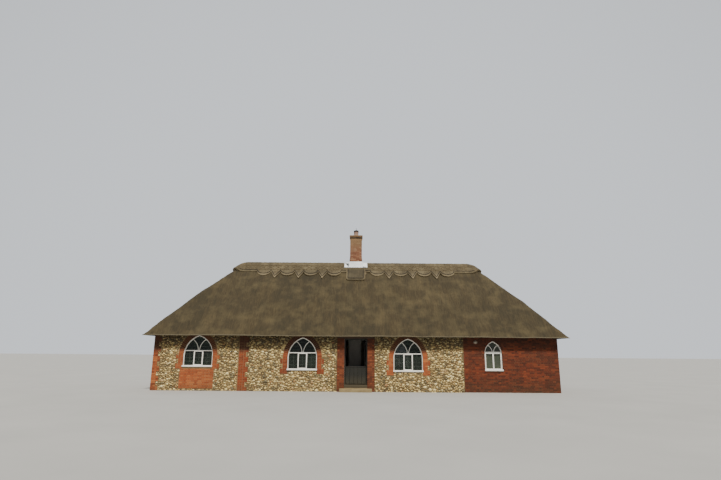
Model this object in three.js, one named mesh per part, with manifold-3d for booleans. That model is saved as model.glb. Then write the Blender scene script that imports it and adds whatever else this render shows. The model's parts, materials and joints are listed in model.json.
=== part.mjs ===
// Thatched cottage: one long storey of flint and brick under a hipped thatched roof.
// Millimetres, +Z up. The front faces -Y. The origin is on the lowest ground, under the middle of the roof.
import * as THREE from "three";
import { mergeVertices } from "three/addons/utils/BufferGeometryUtils.js";
import { ConvexGeometry } from "three/addons/geometries/ConvexGeometry.js";
import Module from "manifold-3d";

const wasm = await Module();
wasm.setup();

// Driving dimensions of the walls and the floor
const HALF_LENGTH = 9480;
const HALF_DEPTH = 3250;
const WALL = 340;
const WALL_TOP = 2620;
const FLOOR_TOP = 355;
const BRICK_START = 5050;
const PIER_FROM = -5490;
const PIER_TO = -5110;
const DOOR_HALF = 543;
const DOOR_PIER = 332;
const LINTEL_BOTTOM = 2460;
const HALF_GAP = 0.15;
const GAP = 2 * HALF_GAP;
// How far a cutting solid runs past what it cuts
const CUT = 1;

// Driving dimensions of the roof
const EAVES_HALF_LENGTH = 9950;
const EAVES_HALF_DEPTH = 3650;
const LIP_Z = 2530;
const ROOF_RISE = 4050;
const SLOPE_SWELL = 140;
const SLOPE_STEPS = 6;
const BEARING_INSET = 200;
const RIDGE_RAISE = 105;

// The chimney stack
const STACK_X = -70;
const STACK_HALF_WIDTH = 320;
const STACK_HALF_DEPTH = 300;
const STACK_TOP = 8030;
const CAP_COURSE = 80;
const CAP_STEP = 18;

// Materials
const look = (color, roughness, metalness = 0) =>
  new THREE.MeshStandardMaterial({ color, roughness, metalness });
const FLINT = look(0x9b8a68, 0.85);
const BRICK = look(0x9c4a2c, 0.9);
const THATCH = look(0x6b5e45, 1);
const RIDGE_THATCH = look(0x776a50, 1);
const JOINERY = look(0xe8e4da, 0.5);
const GLASS = look(0x2a3534, 0.08);
const DOOR_PAINT = look(0x45443c, 0.6);
const LEAD = look(0xcfd6da, 0.45, 0.6);
const TERRACOTTA = look(0xa5634a, 0.8);
const IRON = look(0x2c2a28, 0.55, 0.7);
const STEP_STONE = look(0xb5a88c, 0.85);
const FLOOR_TILE = look(0x7a5140, 0.8);
const TIMBER = look(0x4b3a2a, 0.8);
const LAMP_WHITE = look(0xd9d0c6, 0.4);

// A closed geometry as a solid that can be joined and cut
function solid(geometry) {
  const plain = geometry.index ? geometry.toNonIndexed() : geometry.clone();
  plain.deleteAttribute("normal");
  plain.deleteAttribute("uv");
  const merged = mergeVertices(plain, 1e-3);
  return new wasm.Manifold(
    new wasm.Mesh({
      numProp: 3,
      vertProperties: merged.attributes.position.array,
      triVerts: new Uint32Array(merged.index.array),
    }),
  );
}

function meshOf(name, made, material) {
  const data = made.getMesh();
  const geometry = new THREE.BufferGeometry();
  geometry.setAttribute("position", new THREE.BufferAttribute(data.vertProperties, data.numProp));
  geometry.setIndex(new THREE.BufferAttribute(data.triVerts, 1));
  geometry.computeVertexNormals();
  const mesh = new THREE.Mesh(geometry, material);
  mesh.name = name;
  return mesh;
}

function box(x0, x1, y0, y1, z0, z1) {
  const geometry = new THREE.BoxGeometry(x1 - x0, y1 - y0, z1 - z0);
  geometry.translate((x0 + x1) / 2, (y0 + y1) / 2, (z0 + z1) / 2);
  return solid(geometry);
}

// A shape drawn in X and Z, made solid from y0 to y1
function wallPrism(shape, y0, y1, curveSegments = 8) {
  const geometry = new THREE.ExtrudeGeometry(shape, {
    depth: y1 - y0,
    bevelEnabled: false,
    curveSegments,
  });
  geometry.rotateX(Math.PI / 2);
  geometry.translate(0, y1, 0);
  return solid(geometry);
}

// A shape drawn in X and Y, made solid from z0 to z1
function planPrism(shape, z0, z1, turn = 0) {
  const geometry = new THREE.ExtrudeGeometry(shape, { depth: z1 - z0, bevelEnabled: false });
  geometry.translate(0, 0, z0);
  geometry.rotateZ(turn);
  return solid(geometry);
}

const shapeOf = (points) => new THREE.Shape(points.map(([x, y]) => new THREE.Vector2(x, y)));

// An upright turned solid: the profile runs from the axis round to the axis
function turned(profile, segments) {
  const points = profile.map(([radius, height]) => new THREE.Vector2(radius, height));
  const geometry = new THREE.LatheGeometry(points, segments);
  geometry.rotateX(Math.PI / 2);
  return geometry;
}

const join = (pieces) => pieces.reduce((all, piece) => all.add(piece));

// The cottage and its four sides. Each wall group has its outer face on local y = 0 and its inside at +y.
const cottage = new THREE.Group();
const frontWall = new THREE.Group();
frontWall.position.y = -HALF_DEPTH;
const backWall = new THREE.Group();
backWall.position.y = HALF_DEPTH;
backWall.rotation.z = Math.PI;
cottage.add(frontWall, backWall);

// Windows with a pointed head of two arcs, which spring a little below the transom
const SPRING_DROP = 200;
const NARROW_SPRING_DROP = 50;
const FRAME_WIDTH = 42;
const FRAME_FRONT = 50;
const FRAME_BACK = 140;
const BAR_FRONT = 60;
const BAR_BACK = 110;
const PANE = 6;
const SILL_HEIGHT = 75;
const SILL_HORN = 15;
const SILL_REACH = 50;
const MULLION = 40;
const MIDDLE_LIGHT_HALF = 200;
const CASEMENT_RAIL = 28;
const CASEMENT_PROUD = 6;
const TRACERY = 26;
// The curved bars: their foot's distance from the middle, radius as a share of the half width, and turn
const TRACERY_START = 30;
const TRACERY_CURVE = 0.9;
const TRACERY_TURN = 1.2;
const WIDE_BAR = 42;
const NARROW_BAR = 72;
const SURROUND = 280;
const APRON_SIDE = 120;
const WINDOW_STEPS = 7;

const wide = (x, sill, transom, apex, apron = sill) =>
  ({ x, half: 690, sill, transom, apex, apron, spring: transom - SPRING_DROP, bar: WIDE_BAR, wide: true });
const narrow = (x, sill, transom, apex) => ({
  x, half: 410, sill, transom, apex, apron: sill, spring: transom - NARROW_SPRING_DROP,
  bar: NARROW_BAR, wide: false,
});

const WINDOW_1 = wide(-7390, 1110, 1850, 2560, 150);
const WINDOW_2 = wide(-2505, 990, 1785, 2490);
const WINDOW_3 = wide(2450, 952, 1770, 2468);
const WINDOW_4 = narrow(6445, 1022, 1865, 2383);
// The back repeats them, with its own X running the other way
const BACK_1 = wide(-2450, 970, 1778, 2480);
const BACK_2 = wide(6900, 970, 1778, 2480);
const BACK_3 = narrow(-7080, 1022, 1865, 2383);

// How far each arc's centre lies past the middle of the window
function arcOffset(window) {
  const rise = window.apex - window.spring;
  return (rise * rise - window.half * window.half) / (2 * window.half);
}

// The window's outline, grown by a margin, from a given bottom up to its point
function pointedOutline(window, margin, bottom) {
  const half = window.half + margin;
  const offset = arcOffset(window);
  const radius = half + offset;
  const apexAngle = Math.acos(offset / radius);
  const shape = new THREE.Shape();
  shape.moveTo(window.x - half, bottom);
  shape.lineTo(window.x + half, bottom);
  shape.lineTo(window.x + half, window.spring);
  shape.absarc(window.x - offset, window.spring, radius, 0, apexAngle, false);
  shape.absarc(window.x + offset, window.spring, radius, Math.PI - apexAngle, Math.PI, false);
  return shape;
}

const pointed = (window, margin, bottom, y0, y1) =>
  wallPrism(pointedOutline(window, margin, bottom), y0, y1, WINDOW_STEPS);

// One curved tracery bar: it rises from near the middle of the transom and bends outwards to the arch
function traceryBar(window, side) {
  const radius = TRACERY_CURVE * window.half;
  const centre = window.x + side * (TRACERY_START + radius);
  const foot = side < 0 ? 0 : Math.PI;
  const head = side < 0 ? TRACERY_TURN : Math.PI - TRACERY_TURN;
  const shape = new THREE.Shape();
  shape.absarc(centre, window.transom, radius + TRACERY / 2, foot, head, side > 0);
  shape.absarc(centre, window.transom, radius - TRACERY / 2, head, foot, side < 0);
  return wallPrism(shape, BAR_FRONT, BAR_BACK, WINDOW_STEPS);
}

// The rails and stiles of one opening light
function casement(x0, x1, z0, z1) {
  const front = BAR_FRONT - CASEMENT_PROUD;
  const outer = box(x0, x1, front, BAR_BACK, z0, z1);
  const inner = box(
    x0 + CASEMENT_RAIL, x1 - CASEMENT_RAIL, front - CUT, BAR_BACK + CUT,
    z0 + CASEMENT_RAIL, z1 - CASEMENT_RAIL,
  );
  return outer.subtract(inner);
}

function windowFrame(name, window) {
  const sillTop = window.sill + SILL_HEIGHT;
  const outside = pointed(window, -HALF_GAP, window.sill + HALF_GAP, FRAME_FRONT, FRAME_BACK);
  const ring = outside.subtract(pointed(window, -FRAME_WIDTH, sillTop, FRAME_FRONT - CUT, FRAME_BACK + CUT));
  const heart = pointed(window, -FRAME_WIDTH / 2, sillTop, BAR_FRONT, BAR_BACK);
  const transom = box(
    window.x - window.half, window.x + window.half, BAR_FRONT, BAR_BACK,
    window.transom - window.bar / 2, window.transom + window.bar / 2,
  );
  const reach = window.half + SILL_HORN;
  const pieces = [
    ring,
    box(window.x - reach, window.x + reach, -SILL_REACH, -GAP, window.sill + HALF_GAP, sillTop),
    box(
      window.x - window.half + HALF_GAP, window.x + window.half - HALF_GAP,
      -GAP - CUT, FRAME_BACK, window.sill + HALF_GAP, sillTop,
    ),
    transom.intersect(heart),
  ];
  const mullions = window.wide ? [-MIDDLE_LIGHT_HALF, MIDDLE_LIGHT_HALF] : [0];
  for (const x of mullions) {
    pieces.push(box(
      window.x + x - MULLION / 2, window.x + x + MULLION / 2, BAR_FRONT, BAR_BACK,
      sillTop - CUT, window.transom,
    ));
  }
  const lightTop = window.transom - window.bar / 2 + CUT;
  if (window.wide) {
    pieces.push(casement(
      window.x - MIDDLE_LIGHT_HALF, window.x + MIDDLE_LIGHT_HALF, sillTop - CUT, lightTop,
    ));
  } else {
    const edge = window.half - FRAME_WIDTH + CUT;
    pieces.push(casement(window.x - edge, window.x, sillTop - CUT, lightTop));
    pieces.push(casement(window.x, window.x + edge, sillTop - CUT, lightTop));
  }
  pieces.push(traceryBar(window, -1).intersect(heart));
  pieces.push(traceryBar(window, 1).intersect(heart));
  return meshOf(name, join(pieces), JOINERY);
}

// The pane fills the frame just behind the bars
function windowGlass(name, window) {
  const back = BAR_BACK + GAP;
  const sillTop = window.sill + SILL_HEIGHT;
  return meshOf(name, pointed(window, -FRAME_WIDTH - GAP, sillTop + GAP, back, back + PANE), GLASS);
}

// The whole place of the brickwork at a wide window: jambs, arch, and an apron under the sill of some
function brickPlace(window, margin, y0, y1) {
  const place = pointed(window, SURROUND + margin, window.sill - margin, y0, y1);
  if (window.apron === window.sill) return place;
  const reach = window.half + APRON_SIDE + margin;
  return place.add(box(window.x - reach, window.x + reach, y0, y1, window.apron - margin, window.sill + CUT));
}

// Brick jambs and arch round a wide window, cut level under the eaves
function windowSurround(name, window) {
  const opening = pointed(window, HALF_GAP, window.sill, -CUT, WALL + CUT);
  const reach = window.half + SURROUND;
  const below = box(window.x - reach, window.x + reach, -CUT, WALL + CUT, 0, WALL_TOP - HALF_GAP);
  const bricks = brickPlace(window, -HALF_GAP, 0, WALL).subtract(opening).intersect(below);
  return meshOf(name, bricks, BRICK);
}

const pointedPlace = (window, margin, y0, y1) => pointed(window, margin, window.sill, y0, y1);

// A length of wall with its windows' places cut through
function wallLength(name, x0, x1, windows, material) {
  let wall = box(x0 + HALF_GAP, x1 - HALF_GAP, 0, WALL, 0, WALL_TOP - HALF_GAP);
  for (const window of windows) {
    const place = window.wide ? brickPlace : pointedPlace;
    wall = wall.subtract(place(window, HALF_GAP, -CUT, WALL + CUT));
  }
  return meshOf(name, wall, material);
}

function glazedWindow(group, label, window) {
  group.add(windowFrame(label + "_frame", window), windowGlass(label + "_glass", window));
  if (window.wide) group.add(windowSurround(label + "_brick_surround", window));
}

// Front wall, from left to right
const INSIDE_END = HALF_LENGTH - WALL;
frontWall.add(
  wallLength("front_wall_left", -INSIDE_END, PIER_FROM, [WINDOW_1], FLINT),
  wallLength("front_pier", PIER_FROM, PIER_TO, [], BRICK),
  wallLength("front_wall_middle", PIER_TO, -DOOR_HALF - DOOR_PIER, [WINDOW_2], FLINT),
  wallLength("front_wall_right", DOOR_HALF + DOOR_PIER, BRICK_START, [WINDOW_3], FLINT),
  wallLength("front_wall_brick", BRICK_START, INSIDE_END, [WINDOW_4], BRICK),
);
glazedWindow(frontWall, "front_window_1", WINDOW_1);
glazedWindow(frontWall, "front_window_2", WINDOW_2);
glazedWindow(frontWall, "front_window_3", WINDOW_3);
glazedWindow(frontWall, "front_window_4", WINDOW_4);

// Back wall: the same lengths of brick and flint, seen from behind
backWall.add(
  wallLength("back_wall_brick", -INSIDE_END, -BRICK_START, [BACK_3], BRICK),
  wallLength("back_wall_right", -BRICK_START, -PIER_TO, [BACK_1], FLINT),
  wallLength("back_pier", -PIER_TO, -PIER_FROM, [], BRICK),
  wallLength("back_wall_left", -PIER_FROM, INSIDE_END, [BACK_2], FLINT),
);
glazedWindow(backWall, "back_window_1", BACK_1);
glazedWindow(backWall, "back_window_2", BACK_2);
glazedWindow(backWall, "back_window_3", BACK_3);

// End walls run the full depth and make the corners
function endWall(name, side, material) {
  const x0 = side < 0 ? -HALF_LENGTH : INSIDE_END + HALF_GAP;
  const x1 = side < 0 ? -INSIDE_END - HALF_GAP : HALF_LENGTH;
  return meshOf(name, box(x0, x1, -HALF_DEPTH, HALF_DEPTH, 0, WALL_TOP - HALF_GAP), material);
}
cottage.add(endWall("left_end_wall", -1, FLINT), endWall("right_end_wall", 1, BRICK));

// Floor slab between the walls
const FLOOR_X = INSIDE_END - GAP;
const FLOOR_Y = HALF_DEPTH - WALL - GAP;
cottage.add(meshOf("floor_slab", box(-FLOOR_X, FLOOR_X, -FLOOR_Y, FLOOR_Y, 0, FLOOR_TOP), FLOOR_TILE));

// Doorway: two brick piers, a timber lintel that bears on them, and a stone threshold with its step
const STEP_HALF = 750;
const STEP_REACH = 330;
const STEP_TOP = 200;
const PIER_EDGE = DOOR_HALF + DOOR_PIER - HALF_GAP;
const doorPier = (name, side) => {
  const x0 = side < 0 ? -PIER_EDGE : DOOR_HALF;
  const x1 = side < 0 ? -DOOR_HALF : PIER_EDGE;
  return meshOf(name, box(x0, x1, 0, WALL, 0, LINTEL_BOTTOM - GAP), BRICK);
};
const lintel = box(-PIER_EDGE, PIER_EDGE, 0, WALL, LINTEL_BOTTOM, WALL_TOP - HALF_GAP);
const threshold = box(-DOOR_HALF + GAP, DOOR_HALF - GAP, -CUT, WALL, 0, FLOOR_TOP)
  .add(box(-STEP_HALF, STEP_HALF, -STEP_REACH, -GAP, 0, STEP_TOP));
frontWall.add(
  doorPier("door_pier_left", -1),
  doorPier("door_pier_right", 1),
  meshOf("door_lintel", lintel, TIMBER),
  meshOf("door_step", threshold, STEP_STONE),
);

// Stable door: two leaves hang on upright pins at the right jamb and swing into the room
const FRAME_FACE = 60;
const DOOR_FRAME_FRONT = 230;
const DOOR_FRAME_BACK = 330;
const SWING_CLEARANCE = 5;
const LEAF_HALF = DOOR_HALF - FRAME_FACE - SWING_CLEARANCE;
const BOARD_FRONT = 285;
const BOARD_BACK = 313;
const LEDGE_BACK = 335;
const LEDGE_HEIGHT = 120;
const LEDGE_INSET = 15;
const STRAP_BACK = 343;
const STRAP_HEIGHT = 40;
const STRAP_LENGTH = 420;
const HINGE_X = LEAF_HALF + SWING_CLEARANCE / 2;
const HINGE_Y = 355;
const PIN_RADIUS = 6;
const KNUCKLE_RADIUS = 14;
const KNUCKLE_HEIGHT = 60;
const PINTLE_HEIGHT = 25;
const BRACKET = [5, 50];
const NECK = 6;
const NECK_HALF = 10;
const PIN_ABOVE = 10;
const LEAF_SPLIT = 1190;
const LEAF_GAP = 10;
const LEAF_FOOT_GAP = 25;
const LEAF_HEAD_GAP = 8;
const LOWER_LEAF = { bottom: FLOOR_TOP + LEAF_FOOT_GAP, top: LEAF_SPLIT - LEAF_GAP / 2 };
const UPPER_LEAF = { bottom: LEAF_SPLIT + LEAF_GAP / 2, top: LINTEL_BOTTOM - FRAME_FACE - LEAF_HEAD_GAP };
const UPPER_LEAF_OPEN = THREE.MathUtils.degToRad(95);
const LEDGE_FROM_END = 130;

const ledgeHeights = (leaf) => [leaf.bottom + LEDGE_FROM_END, leaf.top - LEDGE_FROM_END];

function upright(radius, x, y, z0, z1, segments = 20) {
  const geometry = new THREE.CylinderGeometry(radius, radius, z1 - z0, segments);
  geometry.rotateX(Math.PI / 2);
  geometry.translate(x, y, (z0 + z1) / 2);
  return solid(geometry);
}

// A pin on a bracket that is fixed to the jamb and carries one knuckle
function pintle(height) {
  const top = height - KNUCKLE_HEIGHT / 2 - GAP;
  const bottom = top - PINTLE_HEIGHT;
  return join([
    box(
      HINGE_X + BRACKET[0], HINGE_X + BRACKET[1], DOOR_FRAME_BACK - CUT, HINGE_Y + KNUCKLE_RADIUS,
      bottom, top,
    ),
    box(HINGE_X, HINGE_X + NECK, HINGE_Y - NECK_HALF, HINGE_Y + NECK_HALF, bottom, top),
    upright(KNUCKLE_RADIUS, HINGE_X, HINGE_Y, bottom, top),
    upright(PIN_RADIUS, HINGE_X, HINGE_Y, bottom, top + KNUCKLE_HEIGHT + PIN_ABOVE),
  ]);
}

function doorFrame() {
  const outer = DOOR_HALF - GAP;
  const inner = DOOR_HALF - FRAME_FACE;
  const foot = FLOOR_TOP + GAP;
  const head = LINTEL_BOTTOM - GAP;
  const pieces = [
    box(-outer, outer, DOOR_FRAME_FRONT, DOOR_FRAME_BACK, foot, head)
      .subtract(box(
        -inner, inner, DOOR_FRAME_FRONT - CUT, DOOR_FRAME_BACK + CUT, foot - CUT, LINTEL_BOTTOM - FRAME_FACE,
      )),
  ];
  for (const leaf of [LOWER_LEAF, UPPER_LEAF]) {
    for (const height of ledgeHeights(leaf)) pieces.push(pintle(height));
  }
  return meshOf("door_frame", join(pieces), DOOR_PAINT);
}

// A leaf drawn closed, round its hinge pin: boards, two ledges, and a strap with a knuckle on each ledge
function doorLeaf(name, leaf, opened) {
  const pieces = [box(-LEAF_HALF, LEAF_HALF, BOARD_FRONT, BOARD_BACK, leaf.bottom, leaf.top)];
  const bores = [];
  for (const height of ledgeHeights(leaf)) {
    const ledgeHalf = LEAF_HALF - LEDGE_INSET;
    pieces.push(
      box(
        -ledgeHalf, LEAF_HALF, BOARD_BACK - CUT, LEDGE_BACK,
        height - LEDGE_HEIGHT / 2, height + LEDGE_HEIGHT / 2,
      ),
      box(
        HINGE_X - STRAP_LENGTH, HINGE_X, LEDGE_BACK - CUT, STRAP_BACK,
        height - STRAP_HEIGHT / 2, height + STRAP_HEIGHT / 2,
      ),
      upright(KNUCKLE_RADIUS, HINGE_X, HINGE_Y, height - KNUCKLE_HEIGHT / 2, height + KNUCKLE_HEIGHT / 2),
    );
    bores.push(upright(
      PIN_RADIUS + GAP, HINGE_X, HINGE_Y, height - KNUCKLE_HEIGHT, height + KNUCKLE_HEIGHT,
    ));
  }
  const mesh = meshOf(name, join(pieces).subtract(join(bores)), DOOR_PAINT);
  mesh.geometry.translate(-HINGE_X, -HINGE_Y, 0);
  mesh.position.set(HINGE_X, HINGE_Y, 0);
  mesh.rotation.z = -opened;
  return mesh;
}

frontWall.add(
  doorFrame(),
  doorLeaf("door_lower_leaf", LOWER_LEAF, 0),
  doorLeaf("door_upper_leaf", UPPER_LEAF, UPPER_LEAF_OPEN),
);

// Small round-cornered bulkhead lamp on the brick wall
const LAMP_X = 5620;
const LAMP_Z = 2330;
const LAMP_RADIUS = 92;
const LAMP_BASE = 22;
const LAMP_DEPTH = 78;
const LAMP_SQUASH = 0.86;
const LAMP_RIM = 10;
const LAMP_STEPS = 5;
const LAMP_SEGMENTS = 20;

function wallLamp() {
  const profile = [[0, 0], [LAMP_RADIUS, 0], [LAMP_RADIUS, LAMP_BASE]];
  for (let i = 1; i <= LAMP_STEPS; i++) {
    const angle = (i / LAMP_STEPS) * (Math.PI / 2);
    const radius = i === LAMP_STEPS ? 0 : (LAMP_RADIUS - LAMP_RIM) * Math.cos(angle);
    profile.push([radius, LAMP_BASE + (LAMP_DEPTH - LAMP_BASE) * Math.sin(angle)]);
  }
  const geometry = turned(profile, LAMP_SEGMENTS);
  geometry.rotateX(Math.PI / 2);
  geometry.scale(1, 1, LAMP_SQUASH);
  geometry.translate(LAMP_X, -GAP, LAMP_Z);
  return meshOf("wall_lamp", solid(geometry), LAMP_WHITE);
}
frontWall.add(wallLamp());

// Thatch. A slope is worked out from u, the level distance in from the eaves.
const PITCH = ROOF_RISE / EAVES_HALF_DEPTH;
const APEX_Z = LIP_Z + ROOF_RISE;
const RIDGE_HALF_LENGTH = EAVES_HALF_LENGTH - EAVES_HALF_DEPTH;

function slopeHeight(u) {
  const part = u / EAVES_HALF_DEPTH;
  return LIP_Z + ROOF_RISE * part + 4 * SLOPE_SWELL * part * (1 - part);
}

const slopeSteps = Array.from(
  { length: SLOPE_STEPS + 1 },
  (_, i) => (EAVES_HALF_DEPTH * i) / SLOPE_STEPS,
);

// Section through a slope: the swelling back, the soffit on the wall head, and the straight underside
function slopeSection() {
  const soffit = WALL_TOP + HALF_GAP;
  const wallFace = EAVES_HALF_DEPTH - HALF_DEPTH;
  const bearing = wallFace + BEARING_INSET;
  const points = [];
  for (const u of slopeSteps) points.push([u, slopeHeight(u)]);
  points.push([EAVES_HALF_DEPTH, soffit + (EAVES_HALF_DEPTH - bearing) * PITCH]);
  points.push([bearing, soffit]);
  points.push([wallFace, soffit]);
  return points;
}

// One mitred slope, its eaves towards -Y before it is turned
function slopeSlab(halfLength, turn) {
  const section = new THREE.Shape(
    slopeSection().map(([u, z]) => new THREE.Vector2(u - EAVES_HALF_DEPTH, z)),
  );
  const geometry = new THREE.ExtrudeGeometry(section, { depth: 2 * halfLength, bevelEnabled: false });
  geometry.applyMatrix4(new THREE.Matrix4().set(0, 0, 1, -halfLength, 1, 0, 0, 0, 0, 1, 0, 0, 0, 0, 0, 1));
  geometry.rotateZ(turn);
  const mitre = HALF_GAP * Math.SQRT2;
  const top = halfLength - EAVES_HALF_DEPTH;
  const plan = [
    [-halfLength + mitre, -EAVES_HALF_DEPTH],
    [halfLength - mitre, -EAVES_HALF_DEPTH],
  ];
  if (top > 0) plan.push([top + HALF_GAP - mitre, -HALF_GAP], [-top - HALF_GAP + mitre, -HALF_GAP]);
  else plan.push([0, -mitre]);
  return solid(geometry).intersect(planPrism(shapeOf(plan), 0, APEX_Z + ROOF_RISE, turn));
}

const stackHole = (margin, z0, z1) => box(
  STACK_X - STACK_HALF_WIDTH - margin, STACK_X + STACK_HALF_WIDTH + margin,
  -STACK_HALF_DEPTH - margin, STACK_HALF_DEPTH + margin, z0, z1,
);

const ROOF_BAND = [LIP_Z, STACK_TOP];
const frontSlope = slopeSlab(EAVES_HALF_LENGTH, 0).subtract(stackHole(GAP, ...ROOF_BAND));
const backSlope = slopeSlab(EAVES_HALF_LENGTH, Math.PI).subtract(stackHole(GAP, ...ROOF_BAND));
const leftHip = meshOf("thatch_left_hip", slopeSlab(EAVES_HALF_DEPTH, -Math.PI / 2), THATCH);
const rightHip = meshOf("thatch_right_hip", slopeSlab(EAVES_HALF_DEPTH, Math.PI / 2), THATCH);
leftHip.position.x = -RIDGE_HALF_LENGTH;
rightHip.position.x = RIDGE_HALF_LENGTH;
cottage.add(
  meshOf("thatch_front", frontSlope, THATCH),
  meshOf("thatch_back", backSlope, THATCH),
  leftHip,
  rightHip,
);

// The whole roof's outside, raised by a margin: the ridge and the lead lie between two of these
function roofForm(raise) {
  const points = [];
  for (const u of slopeSteps) {
    const x = EAVES_HALF_LENGTH - u;
    const y = EAVES_HALF_DEPTH - u;
    for (const [sx, sy] of [[1, 1], [1, -1], [-1, 1], [-1, -1]]) {
      points.push(new THREE.Vector3(sx * x, sy * y, slopeHeight(u) + raise));
    }
  }
  return solid(new ConvexGeometry(points));
}

// Block-cut ridge: its lower edge hangs as scallops and points in turn, and as a plain panel at the stack
const RIDGE_EDGE = 590;
const SCALLOP_REACH = 230;
const SCALLOP_HALF = 370;
const POINT_REACH = 390;
const POINT_HALF = 262;
const PATTERN_PERIOD = 1270;
const PANEL_HALF = 500;
const PANEL_REACH = 490;
const PANEL_CORNER = 130;
const PANEL_CORNER_STEPS = 4;
const FIRST_SCALLOP = 1160;
const PATTERNS_EACH_SIDE = 4;
const SCALLOP_STEPS = 8;
const END_STEPS = 10;
const RIDGE_SEAT = 0.4;

// The pattern's lower edge on one side of the stack, as distances from its middle and down in plan
function patternEdge() {
  const edge = [];
  for (let step = 0; step <= PANEL_CORNER_STEPS; step++) {
    const angle = (Math.PI / 2) * (step / PANEL_CORNER_STEPS);
    edge.push([
      PANEL_HALF - PANEL_CORNER * (1 - Math.sin(angle)),
      PANEL_REACH - PANEL_CORNER * (1 - Math.cos(angle)),
    ]);
  }
  edge.push([PANEL_HALF, 0]);
  for (let i = 0; i < PATTERNS_EACH_SIDE; i++) {
    const scallop = FIRST_SCALLOP + i * PATTERN_PERIOD;
    for (let step = 0; step <= SCALLOP_STEPS; step++) {
      const angle = (Math.PI * step) / SCALLOP_STEPS;
      edge.push([scallop - SCALLOP_HALF * Math.cos(angle), SCALLOP_REACH * Math.sin(angle)]);
    }
    const point = scallop + PATTERN_PERIOD / 2;
    if (i < PATTERNS_EACH_SIDE - 1) {
      edge.push([point - POINT_HALF, 0], [point, POINT_REACH], [point + POINT_HALF, 0]);
    }
  }
  return edge;
}

// Plan outline of the ridge: the front edge, the round right end, the back edge, the round left end
function ridgePlan() {
  const right = patternEdge().map(([x, y]) => [STACK_X + x, -RIDGE_EDGE - y]);
  const left = patternEdge().map(([x, y]) => [STACK_X - x, -RIDGE_EDGE - y]).reverse();
  const front = [...left, ...right];
  const roundEnd = [];
  for (let step = 0; step <= END_STEPS; step++) {
    const angle = -Math.PI / 2 + (Math.PI * step) / END_STEPS;
    roundEnd.push([RIDGE_HALF_LENGTH + RIDGE_EDGE * Math.cos(angle), RIDGE_EDGE * Math.sin(angle)]);
  }
  const back = front.map(([x, y]) => [x, -y]).reverse();
  const roundStart = roundEnd.map(([x, y]) => [-x, -y]);
  return shapeOf([...front, ...roundEnd, ...back, ...roundStart]);
}

const ridge = roofForm(RIDGE_RAISE)
  .subtract(roofForm(RIDGE_SEAT))
  .intersect(planPrism(ridgePlan(), LIP_Z, STACK_TOP))
  .subtract(stackHole(GAP, ...ROOF_BAND));
cottage.add(meshOf("thatch_ridge", ridge, RIDGE_THATCH));

// A block that narrows upwards, round a middle point
function taper(x, halfX0, halfY0, z0, halfX1, halfY1, z1) {
  const points = [];
  for (const [halfX, halfY, z] of [[halfX0, halfY0, z0], [halfX1, halfY1, z1]]) {
    for (const [sx, sy] of [[1, 1], [1, -1], [-1, 1], [-1, -1]]) {
      points.push(new THREE.Vector3(x + sx * halfX, sy * halfY, z));
    }
  }
  return solid(new ConvexGeometry(points));
}

// Chimney stack with two oversailing courses and a mortar flaunching round the pot
const FLAUNCHING = 45;
function chimneyStack() {
  const pieces = [stackHole(0, FLOOR_TOP + GAP, STACK_TOP + CUT)];
  for (const course of [1, 2]) {
    const z = STACK_TOP + (course - 1) * CAP_COURSE;
    pieces.push(stackHole(course * CAP_STEP, z, z + CAP_COURSE + CUT));
  }
  const capTop = STACK_TOP + 2 * CAP_COURSE;
  pieces.push(taper(
    STACK_X, STACK_HALF_WIDTH, STACK_HALF_DEPTH, capTop,
    STACK_HALF_WIDTH / 2, STACK_HALF_DEPTH / 2, capTop + FLAUNCHING,
  ));
  return meshOf("chimney_stack", join(pieces), BRICK);
}

// Lead saddle over the ridge: a sheet, a low flared apron round the stack, and a tall cheek at each side
const LEAD_HALF_WIDTH = 627;
const LEAD_REACH = 320;
const LEAD_SHEET = 12;
const LEAD_FLARE = 70;
const LEAD_FLARE_FRONT = 15;
const LEAD_UPSTAND = 20;
const CHEEK_FOOT = 80;
const CHEEK_TOP = 8;
const CHEEK_RISE = 300;
const CHEEK_INSET = 20;
function chimneyFlashing() {
  const seat = RIDGE_RAISE + RIDGE_SEAT;
  const plan = shapeOf([
    [STACK_X - LEAD_HALF_WIDTH, -LEAD_REACH],
    [STACK_X + LEAD_HALF_WIDTH, -LEAD_REACH],
    [STACK_X + LEAD_HALF_WIDTH, LEAD_REACH],
    [STACK_X - LEAD_HALF_WIDTH, LEAD_REACH],
  ]);
  const sheet = roofForm(seat + LEAD_SHEET).intersect(planPrism(plan, LIP_Z, STACK_TOP));
  const ridgeTop = APEX_Z + RIDGE_RAISE;
  const apron = taper(
    STACK_X, STACK_HALF_WIDTH + LEAD_FLARE, STACK_HALF_DEPTH + LEAD_FLARE_FRONT, ridgeTop - LEAD_REACH,
    STACK_HALF_WIDTH + LEAD_SHEET, STACK_HALF_DEPTH + LEAD_SHEET, ridgeTop + LEAD_UPSTAND,
  );
  const cheekDepth = STACK_HALF_DEPTH - CHEEK_INSET;
  const cheeks = taper(
    STACK_X, STACK_HALF_WIDTH + CHEEK_FOOT, cheekDepth, ridgeTop - LEAD_REACH,
    STACK_HALF_WIDTH + CHEEK_TOP, cheekDepth, ridgeTop + CHEEK_RISE,
  );
  return meshOf(
    "chimney_flashing",
    join([sheet, apron, cheeks]).subtract(roofForm(seat)).subtract(stackHole(GAP, ...ROOF_BAND)),
    LEAD,
  );
}

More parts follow.
